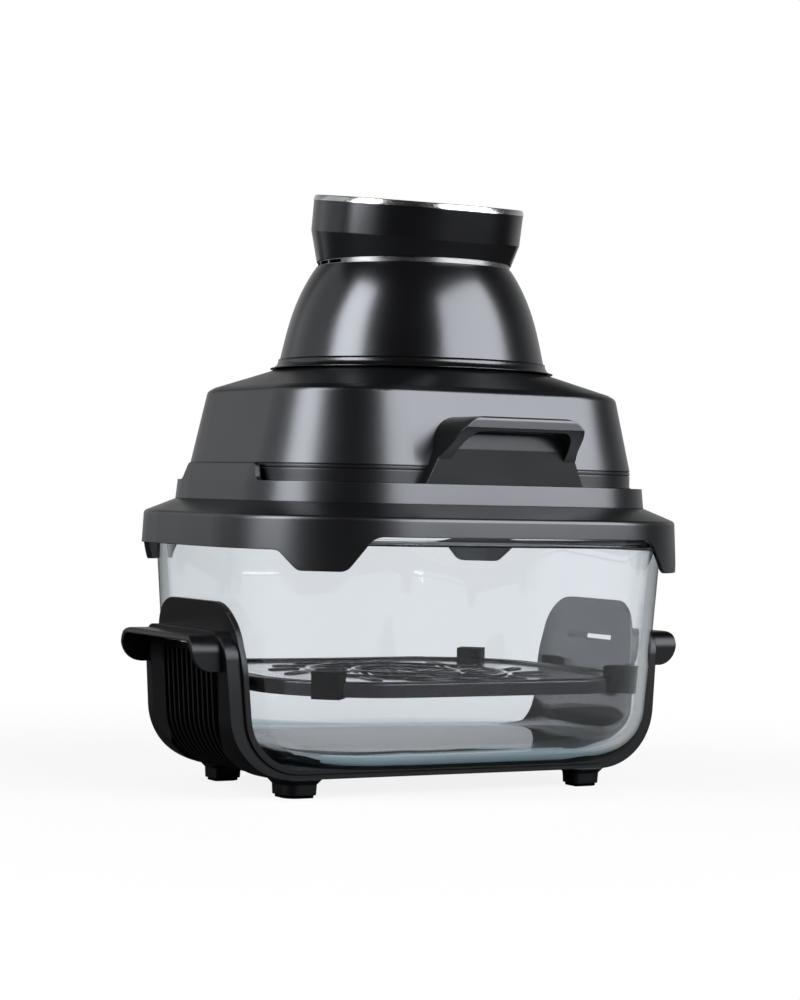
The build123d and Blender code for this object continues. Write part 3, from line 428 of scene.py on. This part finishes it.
def touch_glass():
    """Back-painted tempered glass: deep black under a clear gloss, with finger-wide smears."""
    material, tree, shader = new_material("black_tempered_glass", IOR=1.52)
    smear = add_node(
        tree,
        "ShaderNodeTexNoise",
        {"Vector": place(tree, (1, 3, 1))},
        {"Scale": 30.0, "Detail": 5.0},
    )
    uneven_gloss(tree, shader, smear.outputs[0], 0.03, 0.11)
    shader.inputs["Base Color"].default_value = linear("#08090a")
    shader.inputs["Coat Weight"].default_value = 0.6
    return material


def coated_steel():
    """Non-stick coated steel: near black with a 1.6 mm fleck, glossier in wiped patches."""
    material, tree, shader = new_material("nonstick_coated_steel", IOR=1.55)
    fleck = add_node(
        tree, "ShaderNodeTexVoronoi", {"Vector": place(tree)}, {"Scale": 1000 / 1.6}
    )
    wear = add_node(
        tree, "ShaderNodeTexNoise", {"Vector": place(tree)}, {"Scale": 26.0, "Detail": 4.0}
    )
    colours = ("#161718", "#4a4b4d")
    two_tone(tree, shader, fleck.outputs["Distance"], colours, (0.35, 0.0), (0.0, 0.35))
    uneven_gloss(tree, shader, wear.outputs[0], 0.1, 0.22)
    shader.inputs["Coat Weight"].default_value = 0.5
    bumped(tree, shader, wear.outputs[0], 0.15, 0.2)
    return material


def aluminised_sheet():
    """Aluminised steel sheet: soft silver with the faint spangle of its coating, drawn at 6 mm."""
    material, tree, shader = new_material("aluminised_steel_sheet", Metallic=1.0)
    spangle = add_node(
        tree, "ShaderNodeTexVoronoi", {"Vector": place(tree)}, {"Scale": 1000 / 6.0}
    )
    grains = spangle.outputs["Color"]
    two_tone(tree, shader, grains, ("#b9babb", "#cfd0d1"), (0.0, 1.0), (0.2, 0.8))
    uneven_gloss(tree, shader, grains, 0.28, 0.4, (0.2, 0.8))
    return material


def sheathed_element():
    """Nickel alloy heater sheath: olive brown from its first firing, in bands some 25 mm long."""
    material, tree, shader = new_material("fired_nickel_alloy_sheath", Metallic=0.85)
    band = add_node(
        tree, "ShaderNodeTexNoise", {"Vector": place(tree)}, {"Scale": 40.0, "Detail": 3.0}
    )
    two_tone(tree, shader, band.outputs[0], ("#3b3934", "#5e5a50"))
    uneven_gloss(tree, shader, band.outputs[0], 0.35, 0.5)
    return material


def moulded_silicone():
    """Moulded silicone rubber: black and dry to the touch, with next to no highlight.

    Its skin's grain is drawn at 1.7 mm, so that it shows.
    """
    material, tree, shader = new_material("moulded_silicone_rubber", IOR=1.41)
    skin = add_node(
        tree, "ShaderNodeTexNoise", {"Vector": place(tree)}, {"Scale": 600.0, "Detail": 3.0}
    )
    two_tone(tree, shader, skin.outputs[0], ("#040404", "#080809"), (0.0, 0.5))
    uneven_gloss(tree, shader, skin.outputs[0], 0.5, 0.66)
    shader.inputs["Specular IOR Level"].default_value = 0.04
    bumped(tree, shader, skin.outputs[0], 0.05, 0.4)
    return material


def circuit_board():
    """Glass-epoxy board: green mask over copper runs about 2 mm apart."""
    material, tree, shader = new_material("glass_epoxy_board", IOR=1.5, Roughness=0.35)
    runs = add_node(
        tree,
        "ShaderNodeTexVoronoi",
        {"Vector": place(tree)},
        {"Scale": 1000 / 4.0},
        distance="CHEBYCHEV",
    )
    lines = runs.outputs["Distance"]
    two_tone(tree, shader, lines, ("#12472a", "#2c7a4a"), (0.0, 1.0), (0.42, 0.5))
    bumped(tree, shader, lines, 0.05, 0.4)
    return material


def fibre_board():
    """Pressed ceramic fibre: off-white and matt, with loose fibres some 4 mm long."""
    material, tree, shader = new_material("pressed_ceramic_fibre", Roughness=0.95)
    fibres = add_node(
        tree,
        "ShaderNodeTexNoise",
        {"Vector": place(tree, (1, 6, 1))},
        {"Scale": 260.0, "Detail": 5.0},
    )
    two_tone(tree, shader, fibres.outputs[0], ("#cfc9bb", "#f0ece2"))
    bumped(tree, shader, fibres.outputs[0], 0.4, 0.6)
    return material


def laminated_steel():
    """Stamped motor laminations: grey steel with a line between sheets, drawn 1.5 mm apart."""
    material, tree, shader = new_material("laminated_motor_steel", Metallic=0.9)
    sheets = add_node(
        tree,
        "ShaderNodeTexWave",
        {"Vector": place(tree)},
        {"Scale": 1000 / (1.5 * 2 * pi), "Distortion": 0.2},
        bands_direction="Z",
    )
    lines = sheets.outputs["Fac"]
    two_tone(tree, shader, lines, ("#55565a", "#84868a"), (0.0, 1.0), (0, 1))
    uneven_gloss(tree, shader, lines, 0.3, 0.5, (0, 1))
    return material


def screen_ink():
    """Screen-printed white ink that is lit from behind, with the print's 1 mm unevenness."""
    material, tree, shader = new_material("lit_screen_ink", Roughness=0.5)
    grain = add_node(tree, "ShaderNodeTexNoise", {"Vector": place(tree)}, {"Scale": 900.0})
    two_tone(tree, shader, grain.outputs[0], ("#e8eef2", "#c8d4dc"), (0.0, 0.4))
    shader.inputs["Emission Color"].default_value = linear("#dfeaf2")
    shader.inputs["Emission Strength"].default_value = 0.25
    return material


# Modelling by hand


def take_nothing():
    """Object mode with nothing selected."""
    if bpy.context.object and bpy.context.object.mode != "OBJECT":
        bpy.ops.object.mode_set(mode="OBJECT")
    for obj in bpy.context.selected_objects:
        obj.select_set(False)


def take(obj):
    """Make one object the only selected and active one."""
    take_nothing()
    obj.select_set(True)
    bpy.context.view_layer.objects.active = obj


def outline_ring(height, outset, plan):
    """Add a plan's rounded outline in edit mode, as edges, at a height and an outset."""
    bpy.ops.mesh.primitive_plane_add(size=1.0, location=(0, 0, height * MM))
    length, depth = (plan[0] + 2 * outset) * MM, (plan[1] + 2 * outset) * MM
    bpy.ops.transform.resize(value=(length, depth, 1))
    bpy.ops.mesh.bevel(offset=(plan[2] + outset) * MM, segments=CORNER_STEPS, affect="VERTICES")


def loft(name, sections, plan=BAND, ring=False):
    """Bridge rounded outlines, given as (outset, height), each to the next.

    Both ends are filled, or in a ring the last outline is bridged to the first.
    """
    take_nothing()
    bpy.ops.mesh.primitive_plane_add(size=1.0, location=(0, 0, sections[0][1] * MM))
    piece = bpy.context.object
    piece.name = piece.data.name = name
    bpy.ops.object.mode_set(mode="EDIT")
    bpy.ops.mesh.select_all(action="SELECT")
    bpy.ops.mesh.delete(type="VERT")
    bmesh.from_edit_mesh(piece.data).verts.layers.int.new("ring")
    for index, (outset, height) in enumerate(sections):
        outline_ring(height, outset, plan)
        mesh = bmesh.from_edit_mesh(piece.data)
        layer = mesh.verts.layers.int["ring"]
        for vertex in mesh.verts:
            if vertex.select:
                vertex[layer] = index + 1
        if ring or 0 < index < len(sections) - 1:
            bpy.ops.mesh.delete(type="ONLY_FACE")
        if index:
            bridge(piece, index, index + 1)
    if ring:
        bridge(piece, 1, len(sections))
    bpy.ops.mesh.select_all(action="SELECT")
    bpy.ops.mesh.normals_make_consistent(inside=False)
    bpy.ops.object.mode_set(mode="OBJECT")
    bpy.ops.object.transform_apply(location=True, rotation=True, scale=True)
    return piece


def bridge(piece, first, second):
    """Bridge the two numbered outlines of a piece in edit mode."""
    mesh = bmesh.from_edit_mesh(piece.data)
    layer = mesh.verts.layers.int["ring"]
    for face in mesh.faces:
        face.select = False
    for edge in mesh.edges:
        numbers = {vertex[layer] for vertex in edge.verts}
        edge.select = numbers in ({first}, {second})
    bmesh.update_edit_mesh(piece.data)
    bpy.ops.mesh.bridge_edge_loops()


def hand_over(piece, body, material, slot, *replaced, smooth=35):
    """Finish a piece: smooth shading, its material, and the body that it rides. Its slot is not
    used.
    """
    take(piece)
    bpy.ops.object.shade_smooth_by_angle(angle=radians(smooth))
    piece.data.materials.clear()
    piece.data.materials.append(material)
    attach(piece, body)
    if replaced:
        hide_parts(*replaced)


def glass_outset(height):
    """Outset of the glass's outer wall at a height."""
    return GLASS_TOP_OUTSET - (GLASS_TOP - height) * tan(GLASS_DRAFT)


def rounded_foot(floor, inward, radius, steps=9):
    """Section of the round between a tub's floor and its leaning wall, from the floor up."""
    reach = radius * tan((pi / 2 - GLASS_DRAFT) / 2)
    centre = (glass_outset(floor) + inward - reach, floor + radius)
    turns = [-pi / 2 + (pi / 2 - GLASS_DRAFT) * step / steps for step in range(steps + 1)]
    return [(centre[0] + radius * cos(turn), centre[1] + radius * sin(turn)) for turn in turns]


class FRYER_OT_finishes(bpy.types.Operator):
    """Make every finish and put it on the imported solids"""

    bl_idname = "fryer.finishes"
    bl_label = "Finishes"

    def execute(self, context):
        settings = context.scene.fryer_finish
        housing, cradle = hex_of(settings.shell), hex_of(settings.cradle)
        sheen = settings.sheen
        FINISHES.update(
            shell=moulded_plastic("satin_moulded_abs", housing, sheen, 0.55, 0.05),
            neck=moulded_plastic("gloss_moulded_abs", housing, sheen - 0.08, 0.6, 0.03),
            cradle=moulded_plastic(
                "satin_glass_filled_nylon", cradle, sheen + 0.02, 0.7, 0.06, "#0a0a0b", 0.42
            ),
            glass=pressed_glass(context.scene.fryer_glass),
            panel=touch_glass(),
            chrome=plated_metal("bright_chromed_abs", "#f2f3f5", 0.18, depth=0.0005),
            vent=plated_metal("satin_plated_zinc", "#8a8b8d", 0.3, (0.2, 0.2, 3.0)),
            tray=plated_metal("polished_black_nickel", "#37383b", 0.12, depth=0.001),
            coated=coated_steel(),
            sheet=aluminised_sheet(),
            sheath=sheathed_element(),
            steel=plated_metal("turned_steel", "#a9abae", 0.24, (3.0, 3.0, 0.3)),
            silicone=moulded_silicone(),
            board=circuit_board(),
            fibre=fibre_board(),
            laminations=laminated_steel(),
            ink=screen_ink(),
        )
        for finish, nodes in DRESSED.items():
            for name in nodes:
                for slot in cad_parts[name].material_slots:
                    slot.material = FINISHES[finish]
        return {"FINISHED"}


class FRYER_OT_glass_tub(bpy.types.Operator):
    """Loft the glass tub: rounded base, leaning walls and a rounded bead at the rim"""

    bl_idname = "fryer.glass_tub"
    bl_label = "Glass tub"

    def execute(self, context):
        settings = context.scene.fryer_glass
        wall, base = settings.wall / MM, settings.base / MM
        top = GLASS_TOP - RIM_GAP
        bead = GLASS_TOP_OUTSET + BEAD_REACH
        outside = rounded_foot(GLASS_FLOOR, 0, GLASS_ROUND)
        outside += [(glass_outset(height), height) for height in OUTER_HEIGHTS]
        outside += [(bead - step, height) for step, height in BEAD_SECTION]
        outside += [(bead - BEAD_TOP_STEP, top)]
        inside = rounded_foot(GLASS_FLOOR + base, -wall, GLASS_ROUND - wall)
        inside += [(glass_outset(height) - wall, height) for height in INNER_HEIGHTS]
        inside += [(glass_outset(GLASS_TOP) - wall + INNER_CHAMFER, top)]
        tub = loft("glass_tub", outside + inside[::-1])
        hand_over(tub, "glass", FINISHES["glass"], "clear_glass", "glass_container", smooth=40)
        tub.visible_shadow = False
        return {"FINISHED"}


class FRYER_OT_tray_ridges(bpy.types.Operator):
    """Raise the crisper plate's double rim, its rings and the rolled lip of every slot"""

    bl_idname = "fryer.tray_ridges"
    bl_label = "Tray ridges"

    def execute(self, context):
        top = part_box("crisper_plate")[1][2] / MM
        ridges = []
        for outset in TRAY_RIMS:
            length, depth = (side + 2 * outset for side in BAND[:2])
            ridges.append(self.bead(length, depth, BAND[2] + outset, top, RIM_BEAD))
        ridges += [self.bead(r * 2, r * 2, r, top, RING_BEAD) for r in TRAY_RINGS]
        slot = [side + LIP_GROWTH for side in SLOT_SIZE]
        lip = self.bead(*slot, SLOT_SIZE[1] / 2 + LIP_CORNER, 0, LIP_BEAD)
        for count, ring_radius in TRAY_SLOTS:
            for index in range(count):
                copied = lip.copy()
                copied.data = lip.data.copy()
                context.collection.objects.link(copied)
                turn = Matrix.Rotation(2 * pi * index / count, 4, "Z")
                out = Matrix.Translation((ring_radius * MM, 0, top * MM))
                copied.matrix_world = turn @ out @ Matrix.Rotation(SLOT_SLANT, 4, "Z")
                ridges.append(copied)
        bpy.data.objects.remove(lip)
        take_nothing()
        for ridge in ridges:
            ridge.select_set(True)
        context.view_layer.objects.active = ridges[0]
        bpy.ops.object.join()
        piece = context.object
        piece.name = piece.data.name = "tray_ridges"
        bpy.ops.object.transform_apply(location=True, rotation=True, scale=True)
        hand_over(piece, "tray", FINISHES["tray"], "dark_metal", smooth=60)
        return {"FINISHED"}

    def bead(self, length, depth, corner, height, radius):
        """Round bead of a radius along a rounded outline, given by its plan and height."""
        take_nothing()
        bpy.ops.mesh.primitive_plane_add(size=1.0, location=(0, 0, height * MM))
        bpy.ops.object.mode_set(mode="EDIT")
        bpy.ops.mesh.select_all(action="SELECT")
        bpy.ops.transform.resize(value=(length * MM, depth * MM, 1))
        round_off = min(corner, min(length, depth) / 2 * BEAD_ROUND)
        bpy.ops.mesh.bevel(offset=round_off * MM, segments=14, affect="VERTICES")
        bpy.ops.mesh.delete(type="ONLY_FACE")
        bpy.ops.object.mode_set(mode="OBJECT")
        bpy.ops.object.convert(target="CURVE")
        line = bpy.context.object
        line.data.bevel_depth = radius * MM
        line.data.bevel_resolution = 3
        bpy.ops.object.convert(target="MESH")
        bpy.ops.object.transform_apply(location=True, rotation=True, scale=True)
        return bpy.context.object


class FRYER_OT_chrome_ring(bpy.types.Operator):
    """Loft the bright ring of the cap, with a leaning polished face and rounded edges"""

    bl_idname = "fryer.chrome_ring"
    bl_label = "Chrome ring"

    def execute(self, context):
        low, high = (Vector(corner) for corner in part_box("chrome_ring"))
        radius = (high.x - low.x) / 2 / MM
        section = [(outset, height - CHROME_HEIGHT / 2) for outset, height in CHROME_SECTION]
        plan = (radius * 2, radius * 2, radius * RING_ROUND)
        piece = loft("bright_ring", section, plan, ring=True)
        lean = Matrix.Rotation(PANEL_TILT, 4, "X")
        piece.matrix_world = Matrix.Translation((low + high) / 2) @ lean
        bpy.ops.object.transform_apply(location=True, rotation=True, scale=True)
        hand_over(piece, "head", FINISHES["chrome"], "chrome", "chrome_ring", smooth=40)
        return {"FINISHED"}


class FRYER_OT_panel_marks(bpy.types.Operator):
    """Print plain numbers, signs and rings on the touch panel"""

    bl_idname = "fryer.panel_marks"
    bl_label = "Panel marks"

    def execute(self, context):
        shown = context.scene.fryer_panel
        low, high = (Vector(corner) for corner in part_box("touch_panel"))
        lean = Matrix.Rotation(PANEL_TILT, 4, "X")
        top = (low + high) / 2 + lean @ Vector((0, 0, PANEL_THICK / 2 * MM))
        marks = [
            self.written(f"{shown.degrees}", *DEGREES_MARK),
            self.written(f"{shown.minutes:02d}:00", *MINUTES_MARK),
        ]
        marks += [self.written(*sign) for sign in SIGN_MARKS]
        marks += [self.ring(*ring) for ring in MARK_RINGS]
        marks += [self.bar(*bar) for bar in MARK_BARS]
        for turn in map(radians, DOT_TURNS):
            marks.append(self.ring(DOT_ARC * sin(turn), DOT_ARC * cos(turn), DOT_RADIUS))
        take_nothing()
        for mark in marks:
            mark.select_set(True)
        context.view_layer.objects.active = marks[0]
        bpy.ops.object.join()
        piece = context.object
        piece.name = piece.data.name = "panel_marks"
        piece.matrix_world = Matrix.Translation(top) @ lean
        bpy.ops.object.transform_apply(location=True, rotation=True, scale=True)
        hand_over(piece, "head", FINISHES["ink"], "panel_glass")
        return {"FINISHED"}

    def written(self, text, size, x, y):
        """One line of figures, centred, as a mesh."""
        take_nothing()
        bpy.ops.object.text_add(location=(x * MM, y * MM, 0))
        line = bpy.context.object
        line.data.body = text
        line.data.size = size * MM
        line.data.align_x = line.data.align_y = "CENTER"
        line.data.extrude = MARK_HEIGHT * MM
        bpy.ops.object.convert(target="MESH")
        bpy.ops.object.transform_apply(location=True, rotation=True, scale=True)
        return bpy.context.object

    def ring(self, x, y, radius):
        """Thin flat ring."""
        take_nothing()
        bpy.ops.mesh.primitive_torus_add(
            location=(x * MM, y * MM, 0),
            major_radius=radius * MM,
            minor_radius=RING_LINE * MM,
            major_segments=48,
            minor_segments=8,
        )
        bpy.ops.transform.resize(value=(1, 1, MARK_HEIGHT / RING_LINE))
        bpy.ops.object.transform_apply(location=True, rotation=True, scale=True)
        return bpy.context.object

    def bar(self, x, y, width, height):
        """Thin flat bar with its corners cut."""
        take_nothing()
        bpy.ops.mesh.primitive_cube_add(size=2.0, location=(x * MM, y * MM, 0))
        bar = bpy.context.object
        bar.scale = (width / 2 * MM, height / 2 * MM, MARK_HEIGHT * MM)
        bpy.ops.object.transform_apply(location=True, rotation=True, scale=True)
        bpy.ops.object.mode_set(mode="EDIT")
        bpy.ops.mesh.select_all(action="SELECT")
        bpy.ops.mesh.bevel(offset=MARK_HEIGHT * 0.6 * MM, segments=2)
        bpy.ops.object.mode_set(mode="OBJECT")
        return bar


class FRYER_OT_stage(bpy.types.Operator):
    """Set the camera, the pale floor, the world and the soft boxes"""

    bl_idname = "fryer.stage"
    bl_label = "Studio"

    def execute(self, context):
        scene = context.scene
        scene.view_settings.view_transform = "Standard"
        self.camera(scene)
        self.world(scene)
        self.floor()
        for side, stand in SOFT_BOXES.items():
            self.soft_box(f"{side}_box", *stand, getattr(scene.fryer_stage, side))
        return {"FINISHED"}

    def camera(self, scene):
        """Camera that looks ahead, rolled a little about its line of sight."""
        camera = bpy.data.objects.new("camera", bpy.data.cameras.new("camera"))
        scene.collection.objects.link(camera)
        camera.data.lens, camera.data.sensor_width = CAMERA_LENS, CAMERA_SENSOR
        camera.data.clip_end = CAMERA_REACH
        ahead = Vector(CAMERA_AHEAD).normalized()
        side = Vector((ahead.y, -ahead.x, 0)).normalized()
        up = side.cross(ahead)
        right = side * cos(CAMERA_ROLL) + up * sin(CAMERA_ROLL)
        above = up * cos(CAMERA_ROLL) - side * sin(CAMERA_ROLL)
        turn = Matrix((right, above, -ahead)).transposed().to_4x4()
        camera.matrix_world = Matrix.Translation(CAMERA_AT) @ turn
        scene.camera = camera

    def world(self, scene):
        """White where the camera or glass looks, and a studio for what glossy things mirror."""
        world = bpy.data.worlds.new("studio")
        scene.world = world
        world.use_nodes = True
        tree = world.node_tree
        tree.nodes.clear()
        path = add_node(tree, "ShaderNodeLightPath")
        seen = add_node(
            tree,
            "ShaderNodeMath",
            {0: path.outputs["Is Camera Ray"], 1: path.outputs["Is Transmission Ray"]},
            operation="MAXIMUM",
        )
        # Glossy rays see a backdrop low behind the object, and a dark room in front and above
        where = add_node(tree, "ShaderNodeTexCoord")
        toward = add_node(
            tree,
            "ShaderNodeVectorMath",
            {0: where.outputs["Generated"]},
            {1: BACKDROP_WAY},
            operation="DOT_PRODUCT",
        )
        room = add_node(
            tree,
            "ShaderNodeMapRange",
            {"Value": toward.outputs["Value"]},
            {"From Min": 0.35, "From Max": 0.95, "To Min": ROOM_LEVEL, "To Max": BACKDROP_LEVEL},
        )
        upward = add_node(
            tree,
            "ShaderNodeVectorMath",
            {0: where.outputs["Generated"]},
            {1: (0.0, 0.0, 1.0)},
            operation="DOT_PRODUCT",
        )
        low_room = add_node(
            tree,
            "ShaderNodeMapRange",
            {"Value": upward.outputs["Value"], "To Min": room.outputs[0]},
            {"From Min": 0.2, "From Max": 0.7, "To Max": ROOM_LEVEL},
        )
        mirrored = add_node(
            tree,
            "ShaderNodeMath",
            {0: path.outputs["Is Glossy Ray"], 1: low_room.outputs[0]},
            operation="MULTIPLY",
        )
        matt = add_node(
            tree,
            "ShaderNodeMath",
            {0: path.outputs["Is Diffuse Ray"]},
            {1: MATT_LEVEL},
            operation="MULTIPLY",
        )
        bright = add_node(
            tree,
            "ShaderNodeMath",
            {0: seen.outputs[0], 1: mirrored.outputs[0]},
            operation="MAXIMUM",
        )
        level = add_node(
            tree, "ShaderNodeMath", {0: bright.outputs[0], 1: matt.outputs[0]}, operation="MAXIMUM"
        )
        back = add_node(
            tree,
            "ShaderNodeBackground",
            {"Strength": level.outputs[0]},
            {"Color": linear("#ffffff")},
        )
        add_node(tree, "ShaderNodeOutputWorld", {"Surface": back.outputs[0]})

    def floor(self):
        """Floor that is white to the camera, takes the shadow, and is dark to what mirrors it."""
        take_nothing()
        bpy.ops.mesh.primitive_plane_add(size=FLOOR_SIZE, location=(0, 0, 0))
        floor = bpy.context.object
        floor.name = "studio_floor"
        material, tree, shader = new_material("white_studio_floor", Roughness=0.7)
        output = next(n for n in tree.nodes if n.type == "OUTPUT_MATERIAL")
        path = add_node(tree, "ShaderNodeLightPath")
        # A ray that has been mirrored sees a greyer floor, even through glass
        straight = add_node(
            tree,
            "ShaderNodeMapRange",
            {"Value": path.outputs["Glossy Depth"]},
            {"To Min": 1.0, "To Max": MIRRORED_GLOW},
        )
        through = add_node(
            tree,
            "ShaderNodeMath",
            {0: path.outputs["Is Transmission Ray"], 1: straight.outputs[0]},
            operation="MULTIPLY",
        )
        seen = add_node(
            tree,
            "ShaderNodeMath",
            {0: path.outputs["Is Camera Ray"], 1: through.outputs[0]},
            operation="MAXIMUM",
        )
        # It glows fully white away from the object, and less near it, where the shadow lies
        where = add_node(tree, "ShaderNodeTexCoord")
        away = add_node(
            tree, "ShaderNodeVectorMath", {0: where.outputs["Object"]}, operation="LENGTH"
        )
        limits = zip(("From Min", "From Max", "To Min", "To Max"), FLOOR_FADE + FLOOR_GLOW)
        glowing = add_node(
            tree,
            "ShaderNodeMapRange",
            {"Value": away.outputs["Value"]},
            dict(limits),
            interpolation_type="SMOOTHSTEP",
        )
        share = add_node(
            tree,
            "ShaderNodeMath",
            {0: seen.outputs[0], 1: glowing.outputs[0]},
            operation="MULTIPLY",
        )
        paint = add_node(
            tree,
            "ShaderNodeMix",
            {"Factor": seen.outputs[0]},
            {6: linear("#2c2c2c"), 7: linear("#f4f4f4")},
            data_type="RGBA",
        )
        tree.links.new(paint.outputs[2], shader.inputs["Base Color"])
        glow = add_node(tree, "ShaderNodeEmission", values={"Strength": 1.0})
        mixed = add_node(
            tree,
            "ShaderNodeMixShader",
            {0: share.outputs[0], 1: shader.outputs[0], 2: glow.outputs[0]},
        )
        tree.links.new(mixed.outputs[0], output.inputs["Surface"])
        floor.data.materials.append(material)

    def soft_box(self, name, azimuth, distance, height, size, power):
        """Rectangular soft box that stands round the object and faces it."""
        lamp = bpy.data.objects.new(name, bpy.data.lights.new(name, "AREA"))
        bpy.context.scene.collection.objects.link(lamp)
        lamp.data.shape = "RECTANGLE"
        lamp.data.size, lamp.data.size_y = size
        lamp.data.energy = power
        turn = radians(azimuth)
        at = Vector((-sin(turn) * distance, -cos(turn) * distance, height))
        facing = Vector((-at.x, -at.y, 0.0)).to_track_quat("-Z", "Y").to_matrix().to_4x4()
        lamp.matrix_world = Matrix.Translation(at) @ facing


class FRYER_PT_panel(bpy.types.Panel):
    """Sidebar panel with the pieces and their settings"""

    bl_idname = "FRYER_PT_panel"
    bl_label = "Air fryer"
    bl_space_type = "VIEW_3D"
    bl_region_type = "UI"
    bl_category = "Air fryer"

    def draw(self, context):
        for settings in SETTINGS:
            group = getattr(context.scene, settings)
            for name in group.bl_rna.properties.keys():
                if name not in {"rna_type", "name"}:
                    self.layout.prop(group, name)
        for operator in OPERATORS:
            self.layout.operator(operator.bl_idname)


SETTINGS = {
    "fryer_glass": FryerGlassSettings,
    "fryer_finish": FryerFinishSettings,
    "fryer_panel": FryerPanelSettings,
    "fryer_stage": FryerStageSettings,
}
OPERATORS = (
    FRYER_OT_finishes,
    FRYER_OT_glass_tub,
    FRYER_OT_tray_ridges,
    FRYER_OT_chrome_ring,
    FRYER_OT_panel_marks,
    FRYER_OT_stage,
)


def register():
    for settings, kind in SETTINGS.items():
        bpy.utils.register_class(kind)
        setattr(bpy.types.Scene, settings, PointerProperty(type=kind))
    for kind in (*OPERATORS, FRYER_PT_panel):
        bpy.utils.register_class(kind)


def unregister():
    for kind in (FRYER_PT_panel, *reversed(OPERATORS)):
        bpy.utils.unregister_class(kind)
    for settings, kind in SETTINGS.items():
        delattr(bpy.types.Scene, settings)
        bpy.utils.unregister_class(kind)


def main():
    """Build everything in order."""
    register()
    bpy.ops.fryer.finishes()
    bpy.ops.fryer.glass_tub()
    bpy.ops.fryer.tray_ridges()
    bpy.ops.fryer.chrome_ring()
    bpy.ops.fryer.panel_marks()
    bpy.ops.fryer.stage()


if __name__ == "__main__":
    main()
